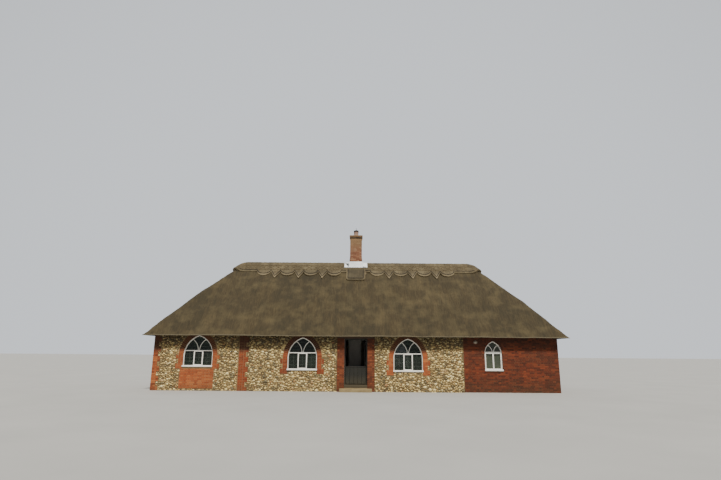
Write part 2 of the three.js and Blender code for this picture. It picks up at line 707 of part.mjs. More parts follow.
// Clay pot on the flaunching, and a metal cowl on its rim: a drum, a low conical cap and a spike
const POT_BASE = STACK_TOP + 2 * CAP_COURSE + FLAUNCHING + GAP;
const POT_HEIGHT = 205;
const POT_FOOT_RADIUS = 140;
const POT_RADIUS = 128;
const POT_FOOT_HEIGHT = 40;
const COWL_RADIUS = 136;
const COWL_DRUM = 80;
const COWL_CAP = 40;
const SPIKE_FOOT = 20;
const SPIKE_POINT = 5;
const COWL_TOP = 8678;
const POT_SEGMENTS = 32;
function chimneyPot() {
  const rim = POT_BASE + POT_HEIGHT;
  const pot = turned([
    [0, POT_BASE],
    [POT_FOOT_RADIUS, POT_BASE],
    [POT_RADIUS, POT_BASE + POT_FOOT_HEIGHT],
    [POT_RADIUS, rim],
    [0, rim],
  ], POT_SEGMENTS);
  pot.translate(STACK_X, 0, 0);
  return meshOf("chimney_pot", solid(pot), TERRACOTTA);
}

function chimneyCowl() {
  const foot = POT_BASE + POT_HEIGHT + GAP;
  const capTop = foot + COWL_DRUM + COWL_CAP;
  const cowl = turned([
    [0, foot],
    [COWL_RADIUS, foot],
    [COWL_RADIUS, foot + COWL_DRUM],
    [SPIKE_FOOT, capTop],
    [SPIKE_POINT, COWL_TOP],
    [0, COWL_TOP],
  ], POT_SEGMENTS);
  cowl.translate(STACK_X, 0, 0);
  return meshOf("chimney_cowl", solid(cowl), IRON);
}

cottage.add(chimneyStack(), chimneyFlashing(), chimneyPot(), chimneyCowl());

export default cottage;
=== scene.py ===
"""Thatched cottage: one long storey of flint and brick, with pointed windows and a hipped straw roof."""

import json
import math
import random

import bpy
import numpy as np
from mathutils import Matrix, Vector


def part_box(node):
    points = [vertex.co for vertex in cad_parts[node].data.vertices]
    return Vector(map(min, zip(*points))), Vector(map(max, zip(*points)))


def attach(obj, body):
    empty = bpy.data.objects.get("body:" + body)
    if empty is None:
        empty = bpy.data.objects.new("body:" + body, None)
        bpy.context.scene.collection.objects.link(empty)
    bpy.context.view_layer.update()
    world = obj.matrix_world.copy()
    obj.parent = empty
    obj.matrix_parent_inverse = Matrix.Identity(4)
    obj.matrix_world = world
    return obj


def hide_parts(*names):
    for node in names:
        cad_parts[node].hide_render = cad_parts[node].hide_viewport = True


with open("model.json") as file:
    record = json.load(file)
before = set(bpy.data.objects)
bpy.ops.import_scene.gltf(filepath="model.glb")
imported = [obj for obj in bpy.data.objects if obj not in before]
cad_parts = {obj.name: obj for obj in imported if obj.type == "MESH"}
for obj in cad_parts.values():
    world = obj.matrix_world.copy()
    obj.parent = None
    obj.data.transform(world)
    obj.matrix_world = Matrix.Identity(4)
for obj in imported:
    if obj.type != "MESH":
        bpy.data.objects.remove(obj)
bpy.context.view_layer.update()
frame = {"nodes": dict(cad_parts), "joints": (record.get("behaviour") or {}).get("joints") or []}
bpy.ops.object.select_all(action="DESELECT")
draw = random.Random(1840)

# The studio: the camera stands where the photograph was taken, 23 m in front of the door at eye height,
# and looks slightly up. A pale sky that is brighter behind, a soft lamp from the front, and a pale floor
# that stands a little above the underside of the walls and covers their lowest 48 mm.
CAMERA_PLACE = (0.175, -26.55, 1.77)
CAMERA_LENS = 24.17
CAMERA_LIFT = math.radians(103.2)
CAMERA_ROLL = math.radians(0.45)
FLOOR_REACH, FLOOR_HEIGHT = 300.0, 0.048
SKY_OVERHEAD, SKY_BEHIND = 0.38, 0.95
SKY_COLOUR = (0.88, 0.92, 0.97, 1)
KEY_LIGHT = 4.7
KEY_COLOUR = (1.0, 0.955, 0.87)
KEY_SPREAD = math.radians(5)
KEY_FROM = (math.radians(32.6), 0, math.radians(11))

camera = bpy.data.objects.new("camera", bpy.data.cameras.new("camera"))
camera.data.sensor_width = 36
camera.data.lens = CAMERA_LENS
camera.data.clip_end = 1000
camera.matrix_world = (
    Matrix.Translation(CAMERA_PLACE)
    @ Matrix.Rotation(CAMERA_LIFT, 4, "X")
    @ Matrix.Rotation(CAMERA_ROLL, 4, "Z")
)
bpy.context.collection.objects.link(camera)
bpy.context.scene.camera = camera

key = bpy.data.objects.new("key_lamp", bpy.data.lights.new("key_lamp", "SUN"))
key.data.energy = KEY_LIGHT
key.data.angle = KEY_SPREAD
key.data.color = KEY_COLOUR
key.rotation_euler = KEY_FROM
bpy.context.collection.objects.link(key)

sky = bpy.data.worlds.new("studio_sky")
sky.use_nodes = True
background = sky.node_tree.nodes["Background"]
background.inputs["Color"].default_value = SKY_COLOUR
heading = sky.node_tree.nodes.new("ShaderNodeTexCoord")
northward = sky.node_tree.nodes.new("ShaderNodeSeparateXYZ")
fade = sky.node_tree.nodes.new("ShaderNodeMapRange")
fade.interpolation_type = "SMOOTHSTEP"
for socket, value in {"From Min": 0.0, "From Max": 0.9, "To Min": SKY_OVERHEAD, "To Max": SKY_BEHIND}.items():
    fade.inputs[socket].default_value = value
sky.node_tree.links.new(heading.outputs["Generated"], northward.inputs[0])
sky.node_tree.links.new(northward.outputs["Y"], fade.inputs["Value"])
sky.node_tree.links.new(fade.outputs[0], background.inputs["Strength"])
bpy.context.scene.world = sky


def paint(hexed):
    """A colour picked as red, green and blue from 00 to ff, in the linear values that shaders take."""
    parts = [int(hexed[i:i + 2], 16) / 255 for i in (0, 2, 4)]
    return (*[c / 12.92 if c <= 0.04045 else ((c + 0.055) / 1.055) ** 2.4 for c in parts], 1.0)


def finish(name, roughness):
    """A new material and its shader."""
    material = bpy.data.materials.new(name)
    material.use_nodes = True
    shader = material.node_tree.nodes["Principled BSDF"]
    shader.inputs["Roughness"].default_value = roughness
    return material, shader


def node(material, kind, sockets=None, **settings):
    """Adds one node, with a value or a link for each named socket."""
    made = material.node_tree.nodes.new("ShaderNode" + kind)
    for key_name, value in settings.items():
        setattr(made, key_name, value)
    for socket, value in (sockets or {}).items():
        target = made.inputs[socket]
        if isinstance(value, bpy.types.NodeSocket):
            material.node_tree.links.new(value, target)
        else:
            target.default_value = value
    return made


def places(material, scale=(1, 1, 1)):
    """Object coordinates, in metres, stretched by a scale."""
    coordinates = node(material, "TexCoord").outputs["Object"]
    return node(material, "Mapping", {"Vector": coordinates, "Scale": scale}).outputs[0]


def cloud(material, scale, stretch=(1, 1, 1), detail=3.0, roughness=0.55):
    """Soft noise, with its grain size as a number per metre."""
    where = places(material, stretch)
    sockets = {"Vector": where, "Scale": scale, "Detail": detail, "Roughness": roughness}
    return node(material, "TexNoise", sockets).outputs["Fac"]


def ramp(material, factor, stops):
    """Colours along a factor, as pairs of place and colour."""
    made = node(material, "ValToRGB", {"Fac": factor})
    elements = made.color_ramp.elements
    while len(elements) < len(stops):
        elements.new(0.5)
    for element, (place, hexed) in zip(elements, stops):
        element.position = place
        element.color = paint(hexed)
    return made.outputs["Color"]


def wire(material, shader, colour, bump=()):
    """Links a colour and layers of bump, each a height, a strength and a depth in metres."""
    links = material.node_tree.links
    links.new(colour, shader.inputs["Base Color"])
    normal = None
    for height, strength, depth in bump:
        layer = node(material, "Bump", {"Height": height, "Strength": strength, "Distance": depth})
        if normal is not None:
            links.new(normal, layer.inputs["Normal"])
        normal = layer.outputs[0]
    if normal is not None:
        links.new(normal, shader.inputs["Normal"])


bpy.ops.mesh.primitive_plane_add(size=2 * FLOOR_REACH, location=(0, 0, FLOOR_HEIGHT))
bpy.ops.object.transform_apply(location=True)
studio_floor = bpy.context.object
studio_floor.name = "studio_floor"
pale_floor, floor_shader = finish("pale_floor", 0.9)
wire(pale_floor, floor_shader, ramp(pale_floor, cloud(pale_floor, 0.4), [(0.3, "a8a7a3"), (0.7, "aeada9")]))
studio_floor.data.materials.append(pale_floor)

# The ground floor is a slab with square red clay tiles laid in cement. It shows through the doorway and
# the windows only, so the tiles and their joints are drawn in the finish of the slab itself.
TILE = 0.23
TILE_JOINT = 0.006
quarry_tile, tile_shader = finish("quarry_tile", 0.55)
tiles = node(quarry_tile, "TexBrick", {
    "Vector": places(quarry_tile), "Scale": 1.0, "Mortar Size": TILE_JOINT,
    "Brick Width": TILE, "Row Height": TILE,
    "Color1": paint("9c6f54"), "Color2": paint("875b43"), "Mortar": paint("8d867a"),
}, offset=0.0)
wire(quarry_tile, tile_shader, tiles.outputs["Color"], [(tiles.outputs["Fac"], 0.4, 0.003)])


def dress_node(name, material):
    """Gives a construction piece its finish."""
    materials = frame["nodes"][name].data.materials
    materials.clear()
    materials.append(material)


dress_node("floor_slab", quarry_tile)

# The walls are 340 mm thick. What shows between the flints and bricks is tan lime mortar, and the rooms
# behind are limewashed, so one finish turns from mortar to limewash 50 mm behind the outer face. The wall
# face under the eaves is darkened with painted shade, which deepens the shadow of the eaves.
house_low, house_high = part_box("left_end_wall")
HALF_LENGTH = -house_low.x
HALF_DEPTH = -house_low.y
WALL_TOP = house_high.z
WALL_FACE = -HALF_DEPTH
REVEAL = 0.05
LIMEWASH = "e6e1d4"
EAVES_SHADE_TONE = "1a150c"
EAVES_SHADE_SHARE = 0.62
EAVES_SHADE_FOOT, EAVES_SHADE_HEAD = WALL_TOP - 0.7, WALL_TOP - 0.3
HEAD_MARGIN = 0.01


def sums(material, operation, first, second, clamp=False):
    """One step of arithmetic between two factors."""
    made = node(material, "Math", {0: first, 1: second}, operation=operation)
    made.use_clamp = clamp
    return made.outputs[0]


def blend(material, factor, first, second):
    """Mixes two colours by a factor."""
    made = node(material, "Mix", data_type="RGBA")
    for socket, value in ((made.inputs[0], factor), (made.inputs[6], first), (made.inputs[7], second)):
        if isinstance(value, bpy.types.NodeSocket):
            material.node_tree.links.new(value, socket)
        elif isinstance(value, str):
            socket.default_value = paint(value)
        else:
            socket.default_value = value
    return made.outputs[2]


def coordinate(material, axis):
    """One of the object coordinates, in metres: 0 for x, 1 for y and 2 for z."""
    where = node(material, "TexCoord").outputs["Object"]
    return node(material, "SeparateXYZ", {"Vector": where}).outputs[axis]


def between(material, value, low, high, at_low, at_high):
    """A factor that runs from one value to another over a range of a coordinate or a cloud."""
    sockets = {"Value": value, "From Min": low, "From Max": high, "To Min": at_low, "To Max": at_high}
    return node(material, "MapRange", sockets).outputs[0]


def painted_eaves_shade(material, share=EAVES_SHADE_SHARE, foot=EAVES_SHADE_FOOT, head=EAVES_SHADE_HEAD):
    """How strongly painted shade darkens a wall face at each height, and not at all above the wall head."""
    height = coordinate(material, 2)
    shade_share = between(material, height, foot, head, 0.0, share)
    return sums(material, "MULTIPLY", shade_share, sums(material, "LESS_THAN", height, WALL_TOP + HEAD_MARGIN))


def mortar_finish(name, stops):
    """Sanded lime mortar outside and limewash inside."""
    material, shader = finish(name, 0.95)
    tone = ramp(material, cloud(material, 2.2, detail=6), stops)
    # Painted shade: the mortar darkens towards the wall head under the eaves.
    tone = blend(material, painted_eaves_shade(material), tone, EAVES_SHADE_TONE)
    within = []
    for axis, half in ((0, HALF_LENGTH), (1, HALF_DEPTH)):
        distance = sums(material, "ABSOLUTE", coordinate(material, axis), 0)
        within.append(sums(material, "LESS_THAN", distance, half - REVEAL))
    tone = blend(material, sums(material, "MULTIPLY", *within), tone, LIMEWASH)
    lumps, sand = cloud(material, 18, detail=4), cloud(material, 190, detail=2)
    wire(material, shader, tone, [(lumps, 0.5, 0.012), (sand, 0.5, 0.003)])
    return material


flint_mortar = mortar_finish("flint_mortar", [(0.25, "5a4a32"), (0.5, "6e5c3f"), (0.75, "84704d")])
jamb_mortar = mortar_finish("jamb_mortar", [(0.25, "7c6848"), (0.5, "947d57"), (0.75, "a58f68")])
wall_mortar = mortar_finish("wall_mortar", [(0.25, "533c28"), (0.5, "694c30"), (0.75, "7f5f40")])
for mortar, walls in (
    (flint_mortar, (
        "left_end_wall", "front_wall_left", "front_wall_middle", "front_wall_right", "back_wall_right",
        "back_wall_left",
    )),
    (wall_mortar, (
        "right_end_wall", "front_wall_brick", "back_wall_brick", "door_pier_left", "door_pier_right",
    )),
    (jamb_mortar, (
        "front_pier", "back_pier", "front_window_1_brick_surround", "front_window_2_brick_surround",
        "front_window_3_brick_surround", "back_window_1_brick_surround", "back_window_2_brick_surround",
    )),
):
    for wall in walls:
        dress_node(wall, mortar)

# The window openings. Each is a pointed arch of two arcs, which spring a little below the transom. A side
# of the house is drawn as it is seen from outside, with a running to the right and z up.
UP = Vector((0, 0, 1))
SIDES = {
    "front": (Vector((0, -HALF_DEPTH, 0)), Vector((1, 0, 0)), Vector((0, -1, 0))),
    "back": (Vector((0, HALF_DEPTH, 0)), Vector((-1, 0, 0)), Vector((0, 1, 0))),
    "left": (Vector((-HALF_LENGTH, 0, 0)), Vector((0, -1, 0)), Vector((-1, 0, 0))),
    "right": (Vector((HALF_LENGTH, 0, 0)), Vector((0, 1, 0)), Vector((1, 0, 0))),
}
SILL_HORN = 0.015
WIDE_FROM = 0.5
TRANSOM = {
    "front_window_1": 1.850, "front_window_2": 1.785, "front_window_3": 1.770, "front_window_4": 1.865,
    "back_window_1": 1.778, "back_window_2": 1.778, "back_window_3": 1.865,
}
WIDE_SPRING_DROP = 0.2
NARROW_SPRING_DROP = 0.05


class Opening:
    """One window opening: its middle, half width, sill, springing and point, and the arcs between them."""

    def __init__(self, label):
        low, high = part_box(label + "_frame")
        self.label = label
        self.side = label.split("_")[0]
        turn = 1 if self.side == "front" else -1
        self.middle = turn * (low.x + high.x) / 2
        self.half = (high.x - low.x) / 2 - SILL_HORN
        self.sill = low.z
        self.apex = high.z
        self.transom = TRANSOM[label]
        self.wide = self.half > WIDE_FROM
        self.spring = self.transom - (WIDE_SPRING_DROP if self.wide else NARROW_SPRING_DROP)
        rise = self.apex - self.spring
        self.offset = (rise * rise - self.half * self.half) / (2 * self.half)
        self.radius = self.half + self.offset
        self.arc = math.acos(self.offset / self.radius)

    def clearance(self, a, z, ring):
        """How far a point lies outside the opening grown by a ring, along the wall face."""
        if z < self.sill:
            return max(self.sill - z, abs(a - self.middle) - self.half)
        if z < self.spring:
            return abs(a - self.middle) - self.half - ring
        past = abs(a - self.middle) + self.offset
        return math.hypot(past, z - self.spring) - self.radius - ring


openings = {label: Opening(label) for label in TRANSOM}

# Brickwork: red stock bricks of 215 by 102.5 by 65 mm in 10 mm joints, laid in Flemish bond. Each brick is a
# block with an eased face that stands 3 to 5 mm proud of the mortar, and those beside an arch are cut to fit.
STRETCHER = 0.215
HEADER = 0.1025
BRICK_TALL = 0.065
JOINT = 0.01
COURSE = BRICK_TALL + JOINT
BOND = STRETCHER + HEADER + 2 * JOINT
BRICK_PROUD, BRICK_UNEVEN = 0.003, 0.0025
BRICK_DEEP = 0.045
BRICK_EASE = 0.003
FACES_OUT = 0.9
SMALLEST_CUT = 0.03
BLOCK_COURSES = 3
RING_WIDE = STRETCHER
RING_NARROW = HEADER


def oblong(a0, a1, z0, z1):
    """The outline of a whole brick on the wall face."""
    return [(a0, z0), (a1, z0), (a1, z1), (a0, z1)]


def cut_off(outline, point, away):
    """The part of an outline that lies on the side of a line to which away points."""
    depths = [(a - point[0]) * away[0] + (z - point[1]) * away[1] for a, z in outline]
    kept = []
    for index, here in enumerate(outline):
        before, d0, d1 = outline[index - 1], depths[index - 1], depths[index]
        if d0 * d1 < 0:
            share = d0 / (d0 - d1)
            kept.append(tuple(a + share * (b - a) for a, b in zip(before, here)))
        if d1 >= 0:
            kept.append(here)
    return kept


def sound(outline):
    """True if a cut brick is large enough to lay."""
    if len(outline) < 3:
        return False
    twice = sum(
        outline[i - 1][0] * outline[i][1] - outline[i][0] * outline[i - 1][1] for i in range(len(outline))
    )
    return twice / 2 > SMALLEST_CUT * BRICK_TALL


def round_window(outline, opening, ring):
    """A brick cut back to the edge of a window opening and its arch ring."""
    middle_a = sum(a for a, z in outline) / len(outline)
    middle_z = sum(z for a, z in outline) / len(outline)
    side = 1 if middle_a > opening.middle else -1
    if middle_z < opening.sill:
        return outline
    if middle_z < opening.spring:
        return cut_off(outline, (opening.middle + side * opening.half, 0), (side, 0))
    past = middle_a - opening.middle + side * opening.offset
    rise = middle_z - opening.spring
    reach = math.hypot(past, rise)
    away = (past / reach, rise / reach)
    edge = opening.radius + ring + JOINT
    centre = (opening.middle - side * opening.offset, opening.spring)
    return cut_off(outline, (centre[0] + away[0] * edge, centre[1] + away[1] * edge), away)


def flemish(a0, a1, z0, z1, windows=(), ring=0.0):
    """Courses of stretchers and headers in turn, cut at the ends and round the windows."""
    bricks = []
    row = 0
    z = z0
    while z + JOINT < z1:
        a = a0 - (BOND / 2 if row % 2 else 0)
        stretcher = True
        while a < a1:
            length = STRETCHER if stretcher else HEADER
            outline = oblong(max(a, a0), min(a + length, a1), z, min(z + BRICK_TALL, z1))
            for window in windows:
                outline = round_window(outline, window, ring) if outline else outline
            if sound(outline):
                bricks.append(outline)
            a += length + JOINT
            stretcher = not stretcher
        z += COURSE
        row += 1
    return bricks


def toothed(edge, away, z0, z1, short=STRETCHER, long=BOND - JOINT, first_long=True):
    """A jamb or quoin from a straight edge: blocks of three courses, long and short in turn."""
    bricks = []
    blocks = []
    row = 0
    z = z0
    while z + JOINT < z1:
        is_long = (row // BLOCK_COURSES) % 2 == (0 if first_long else 1)
        width = long if is_long else short
        top = min(z + BRICK_TALL, z1)
        first = STRETCHER if row % 2 == 0 else HEADER
        start = 0.0
        while width - start > SMALLEST_CUT:
            length = min(first if start == 0 else STRETCHER + HEADER - first, width - start)
            a0, a1 = sorted((edge + away * start, edge + away * (start + length)))
            bricks.append(oblong(a0, a1, z, top))
            start += length + JOINT
            first = STRETCHER if first == HEADER else HEADER
        a0, a1 = sorted((edge, edge + away * width))
        blocks.append((a0, a1, z - JOINT / 2, top + JOINT / 2))
        z += COURSE
        row += 1
    return bricks, blocks


def arch_ring(opening, ring):
    """Bricks on edge, which radiate from the centres of the two arcs."""
    near, far = opening.radius, opening.radius + ring
    count = round(near * opening.arc / COURSE)
    step = opening.arc / count
    gap = JOINT / near
    bricks = []
    for index in range(count):
        low, high = index * step + gap / 2, (index + 1) * step - gap / 2
        right = []
        for reach, angle in ((near, low), (far, low), (far, high), (near, high)):
            a = opening.middle - opening.offset + reach * math.cos(angle)
            right.append((a, opening.spring + reach * math.sin(angle)))
        right = cut_off(right, (opening.middle + JOINT / 2, 0), (1, 0))
        right = cut_off(right, (0, WALL_TOP), (0, -1)) if right else right
        if sound(right):
            bricks.append(right)
            bricks.append([(2 * opening.middle - a, z) for a, z in reversed(right)])
    return bricks


def pick(piece):
    """Selects one piece alone, because operators work on all that is selected."""
    bpy.ops.object.select_all(action="DESELECT")
    piece.select_set(True)
    bpy.context.view_layer.objects.active = piece


def drawn(name, corners, edges=(), faces=()):
    """A new piece from its corners and the edges or faces between them, picked for the next operators."""
    mesh = bpy.data.meshes.new(name)
    mesh.from_pydata(corners, edges, faces)
    piece = bpy.data.objects.new(name, mesh)
    bpy.context.collection.objects.link(piece)
    pick(piece)
    return piece


def worked(piece, kind, **settings):
    """Works one modifier into the mesh of the picked piece."""
    modifier = piece.modifiers.new(kind.lower(), kind)
    for setting, value in settings.items():
        setattr(modifier, setting, value)
    bpy.ops.object.modifier_apply(modifier=modifier.name)


def stand_for(piece, nodes, body="house"):
    """Says what a piece rides on and what it replaces."""
    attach(piece, body)
    if nodes:
        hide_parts(*nodes)


def lay(name, plane, bricks, material, tone=(0.0, 1.0)):
    """Draws brick faces on a wall plane, gives them their depth and eases their edges."""
    origin, along, out = plane
    corners, faces, tones = [], [], []
    for outline in bricks:
        lift = BRICK_PROUD + draw.uniform(0, BRICK_UNEVEN)
        faces.append(range(len(corners), len(corners) + len(outline)))
        corners += [origin + along * a + out * lift + UP * z for a, z in outline]
        tones.append(draw.uniform(*tone))
    piece = drawn(name, corners, faces=faces)
    piece.data.attributes.new("tone", "FLOAT", "FACE").data.foreach_set("value", tones)
    worked(piece, "SOLIDIFY", thickness=BRICK_DEEP, offset=-1)
    bpy.context.tool_settings.mesh_select_mode = (False, False, True)
    for face in piece.data.polygons:
        face.select = face.normal.dot(out) > FACES_OUT
    bpy.ops.object.mode_set(mode="EDIT")
    bpy.ops.mesh.inset(thickness=BRICK_EASE, depth=BRICK_EASE, use_individual=True)
    bpy.ops.object.mode_set(mode="OBJECT")
    piece.select_set(False)
    piece.data.materials.append(material)
    stand_for(piece, [])


def brick_finish(name, stops, dirt, low_dirt, damp_tall=0.5, shade_under_eaves=(0.5, EAVES_SHADE_FOOT)):
    """Clay that differs from brick to brick, darker in clouds and near the ground, with painted shade under
    the eaves.
    """
    material, shader = finish(name, 0.88)
    fired = ramp(material, node(material, "Attribute", attribute_name="tone").outputs["Fac"], stops)
    mottle = cloud(material, 34, detail=5)
    fired = blend(material, sums(material, "MULTIPLY", mottle, 0.35), fired, dirt)
    weather = between(material, cloud(material, 1.1, detail=6, roughness=0.6), 0.4, 0.75, 0.0, 0.55)
    fired = blend(material, weather, fired, dirt)
    damp = between(material, coordinate(material, 2), 0.0, damp_tall, 0.9, 0.0)
    wet = sums(material, "MULTIPLY", damp, cloud(material, 3, detail=5), clamp=True)
    fired = blend(material, wet, fired, low_dirt)
    # Painted shade under the eaves.
    fired = blend(material, painted_eaves_shade(material, *shade_under_eaves), fired, EAVES_SHADE_TONE)
    grit, pores = cloud(material, 60, detail=4), cloud(material, 400)
    wire(material, shader, fired, [(grit, 0.5, 0.004), (pores, 0.35, 0.001)])
    return material


wall_brick = brick_finish(
    "wall_brick", [(0.0, "4e1f0f"), (0.35, "642912"), (0.7, "7a3217"), (1.0, "8c4120")],
    dirt="3a2011", low_dirt="3a2f1c", damp_tall=0.9,
)
# The dressings get deeper painted shade that starts lower down, so that the arch rings under the eaves read
# dark.
jamb_brick = brick_finish(
    "jamb_brick", [(0.0, "7a3418"), (0.35, "9c4a24"), (0.7, "b55f30"), (1.0, "c6763f")],
    dirt="6a3a20", low_dirt="64482b", shade_under_eaves=(0.8, 1.72, 1.94),
)
pier_brick = brick_finish(
    "pier_brick", [(0.0, "5c2812"), (0.35, "713418"), (0.7, "844022"), (1.0, "95502c")],
    dirt="4a2917", low_dirt="4a3520",
)

GROUND, EAVES = 0.004, WALL_TOP - 0.004
BRICK_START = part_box("front_wall_brick")[0].x
# The plain brick length at the right, round the corner, and its twin on the back
for name, side, start, end, windows in (
    ("front_brickwork", "front", BRICK_START, HALF_LENGTH, [openings["front_window_4"]]),
    ("right_end_brickwork", "right", -HALF_DEPTH, HALF_DEPTH, []),
    ("back_brickwork", "back", -HALF_LENGTH, -BRICK_START, [openings["back_window_3"]]),
):
    bricks = flemish(start, end, GROUND, EAVES, windows, RING_NARROW)
    for window in windows:
        bricks += arch_ring(window, RING_NARROW)
    lay(name, SIDES[side], bricks, wall_brick)

# Brick dressings of the flint walls: toothed jambs and an arch at each wide window, a brick panel under the
# left one, the piers, and the quoins at the left corners. Where they lie, no flint is bedded.
# Painted shade: some dressings take a darker range of tones, as if they stood in shade.
SHADED_BRICK_TONES, WARM_BRICKS = (0, 0.4), (0.3, 1)
brick_blocks = {side: [] for side in SIDES}
for opening in openings.values():
    if not opening.wide:
        continue
    jambs = arch_ring(opening, RING_WIDE)
    panel_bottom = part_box(opening.label + "_brick_surround")[0].z
    has_panel = panel_bottom < opening.sill - COURSE
    for away in (-1, 1):
        edge = opening.middle + away * (opening.half - BRICK_PROUD)
        bricks, blocks = toothed(edge, away, opening.sill - COURSE * (1 if has_panel else 2), opening.spring)
        jambs += bricks
        brick_blocks[opening.side] += blocks
    if has_panel:
        left, right = opening.middle - opening.half - HEADER, opening.middle + opening.half + HEADER
        jambs += flemish(left, right, panel_bottom, opening.sill - COURSE - JOINT)
        brick_blocks[opening.side].append((left, right, panel_bottom - JOINT, opening.sill))
    # Painted shade: the second front window's dressing takes the darker tones.
    tone = SHADED_BRICK_TONES if opening.label == "front_window_2" else WARM_BRICKS
    lay(opening.label + "_brick_dressing", SIDES[opening.side], jambs, jamb_brick, tone=tone)

pier_low, pier_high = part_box("front_pier")
for side, turn in (("front", 1), ("back", -1)):
    middle = turn * (pier_low.x + pier_high.x) / 2
    bricks, blocks = toothed(middle - BOND / 2, 1, GROUND, EAVES, BOND - JOINT, 2 * STRETCHER + JOINT)
    # Painted shade: the piers take the darker tones.
    lay(side + "_pier_bricks", SIDES[side], bricks, jamb_brick, tone=SHADED_BRICK_TONES)
    brick_blocks[side] += blocks
for name, side, edge, away in (
    ("front_left_quoin", "front", -HALF_LENGTH, 1), ("left_front_quoin", "left", HALF_DEPTH, -1),
    ("left_back_quoin", "left", -HALF_DEPTH, 1), ("back_left_quoin", "back", HALF_LENGTH, -1),
):
    bricks, blocks = toothed(edge, away, GROUND, EAVES, first_long=side != "left")
    lay(name, SIDES[side], bricks, jamb_brick)
    brick_blocks[side] += blocks

DOOR_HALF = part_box("door_frame")[1].x
LINTEL_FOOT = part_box("door_lintel")[0].z
for name, away in (("door_jamb_left", -1), ("door_jamb_right", 1)):
    bricks, blocks = toothed(away * (DOOR_HALF - BRICK_PROUD), away, GROUND, LINTEL_FOOT, BOND - JOINT)
    lay(name, SIDES["front"], bricks, pier_brick)
    brick_blocks["front"] += blocks

# Flint walling: field flints of about 45 to 215 mm, bedded at random in lime mortar with their rounded or
# broken faces out. Six flints are modelled, and each one in the wall is a turned and stretched copy of one.
FLINT_SIZES = ((0.07, 8), (0.058, 40), (0.046, 130), (0.034, 230), (0.025, 330))
FLINT_MODELS = 6
FLINT_SIDES, FLINT_RINGS = 8, 4
FLINT_BED = -0.35
FLINT_ROUGH = 0.26
FLINT_UNEQUAL = (0.85, 1.15)
FLINT_WIDE, FLINT_TALL, FLINT_PROUD = (1.0, 1.35), (0.8, 1.0), (0.016, 0.036)
FLINT_PACK, FLINT_CLEAR = 0.84, 0.9
FLINT_FOOT = 0.002
FLINT_CELL = 0.2


def edit_all():
    """Opens the mesh of the active piece with all of it selected."""
    bpy.ops.object.mode_set(mode="EDIT")
    bpy.ops.mesh.select_all(action="SELECT")


def model_flint(number):
    """A cobble with a domed face, eight sides and a flat bed."""
    bpy.ops.mesh.primitive_uv_sphere_add(segments=FLINT_SIDES, ring_count=FLINT_RINGS, radius=1)
    cobble = bpy.context.object
    edit_all()
    bpy.ops.mesh.bisect(plane_co=(0, 0, FLINT_BED), plane_no=(0, 0, 1), clear_inner=True, use_fill=True)
    bpy.ops.mesh.select_all(action="SELECT")
    bpy.ops.transform.vertex_random(offset=FLINT_ROUGH, uniform=1.0, seed=number)
    bpy.ops.object.mode_set(mode="OBJECT")
    shape = np.array([v.co for v in cobble.data.vertices])
    faces = [tuple(face.vertices) for face in cobble.data.polygons]
    bpy.data.objects.remove(cobble)
    return shape, faces


cobbles = [model_flint(number) for number in range(FLINT_MODELS)]

knapped_flint, flint_shader = finish("knapped_flint", 0.5)
flint_tone = node(knapped_flint, "Attribute", attribute_name="tone").outputs["Fac"]
flint_colour = ramp(knapped_flint, flint_tone, [
    (0.0, "3a3326"), (0.14, "5f5438"), (0.27, "8c7346"), (0.4, "b19257"), (0.56, "d3b474"), (0.74, "e9d18f"),
    (0.88, "f5e4ab"), (0.94, "a66a37"), (1.0, "d8c285"),
])
rind = between(knapped_flint, cloud(knapped_flint, 26, detail=6, roughness=0.65), 0.42, 0.62, 0.0, 0.4)
flint_colour = blend(knapped_flint, rind, flint_colour, "e6d39a")
grime = sums(knapped_flint, "MULTIPLY", cloud(knapped_flint, 9, detail=5), 0.3)
flint_colour = blend(knapped_flint, grime, flint_colour, "5f4e32")
# Painted shade: the flints darken towards the wall head under the eaves.
flint_colour = blend(knapped_flint, painted_eaves_shade(knapped_flint), flint_colour, EAVES_SHADE_TONE)
wire(knapped_flint, flint_shader, flint_colour, [(cloud(knapped_flint, 45, detail=5), 0.5, 0.008)])


def scatter(side, a0, a1, windows):
    """Places for flints, the large ones first and smaller ones in what is left, clear of the brickwork."""
    grid = {}
    spots = []
    blocks = [block for block in brick_blocks[side] if block[1] > a0 and block[0] < a1]
    for size, tries in FLINT_SIZES:
        for _ in range(int(tries * (a1 - a0) * WALL_TOP)):
            a, z = draw.uniform(a0, a1), draw.uniform(0, WALL_TOP)
            radius = size * draw.uniform(*FLINT_UNEQUAL)
            reach = radius * FLINT_CLEAR
            if a - reach < a0 or a + reach > a1 or z - reach < 0 or z + reach > WALL_TOP:
                continue
            if any(
                b0 - reach < a < b1 + reach and y0 - reach < z < y1 + reach for b0, b1, y0, y1 in blocks
            ):
                continue
            if any(window.clearance(a, z, RING_WIDE if window.wide else 0) < reach for window in windows):
                continue
            column, row = int(a / FLINT_CELL), int(z / FLINT_CELL)
            near = (
                spot for i in (-1, 0, 1) for j in (-1, 0, 1) for spot in grid.get((column + i, row + j), ())
            )
            if any((a - x) ** 2 + (z - y) ** 2 < (FLINT_PACK * (radius + r)) ** 2 for x, y, r in near):
                continue
            grid.setdefault((column, row), []).append((a, z, radius))
            spots.append((a, z, radius))
    return spots


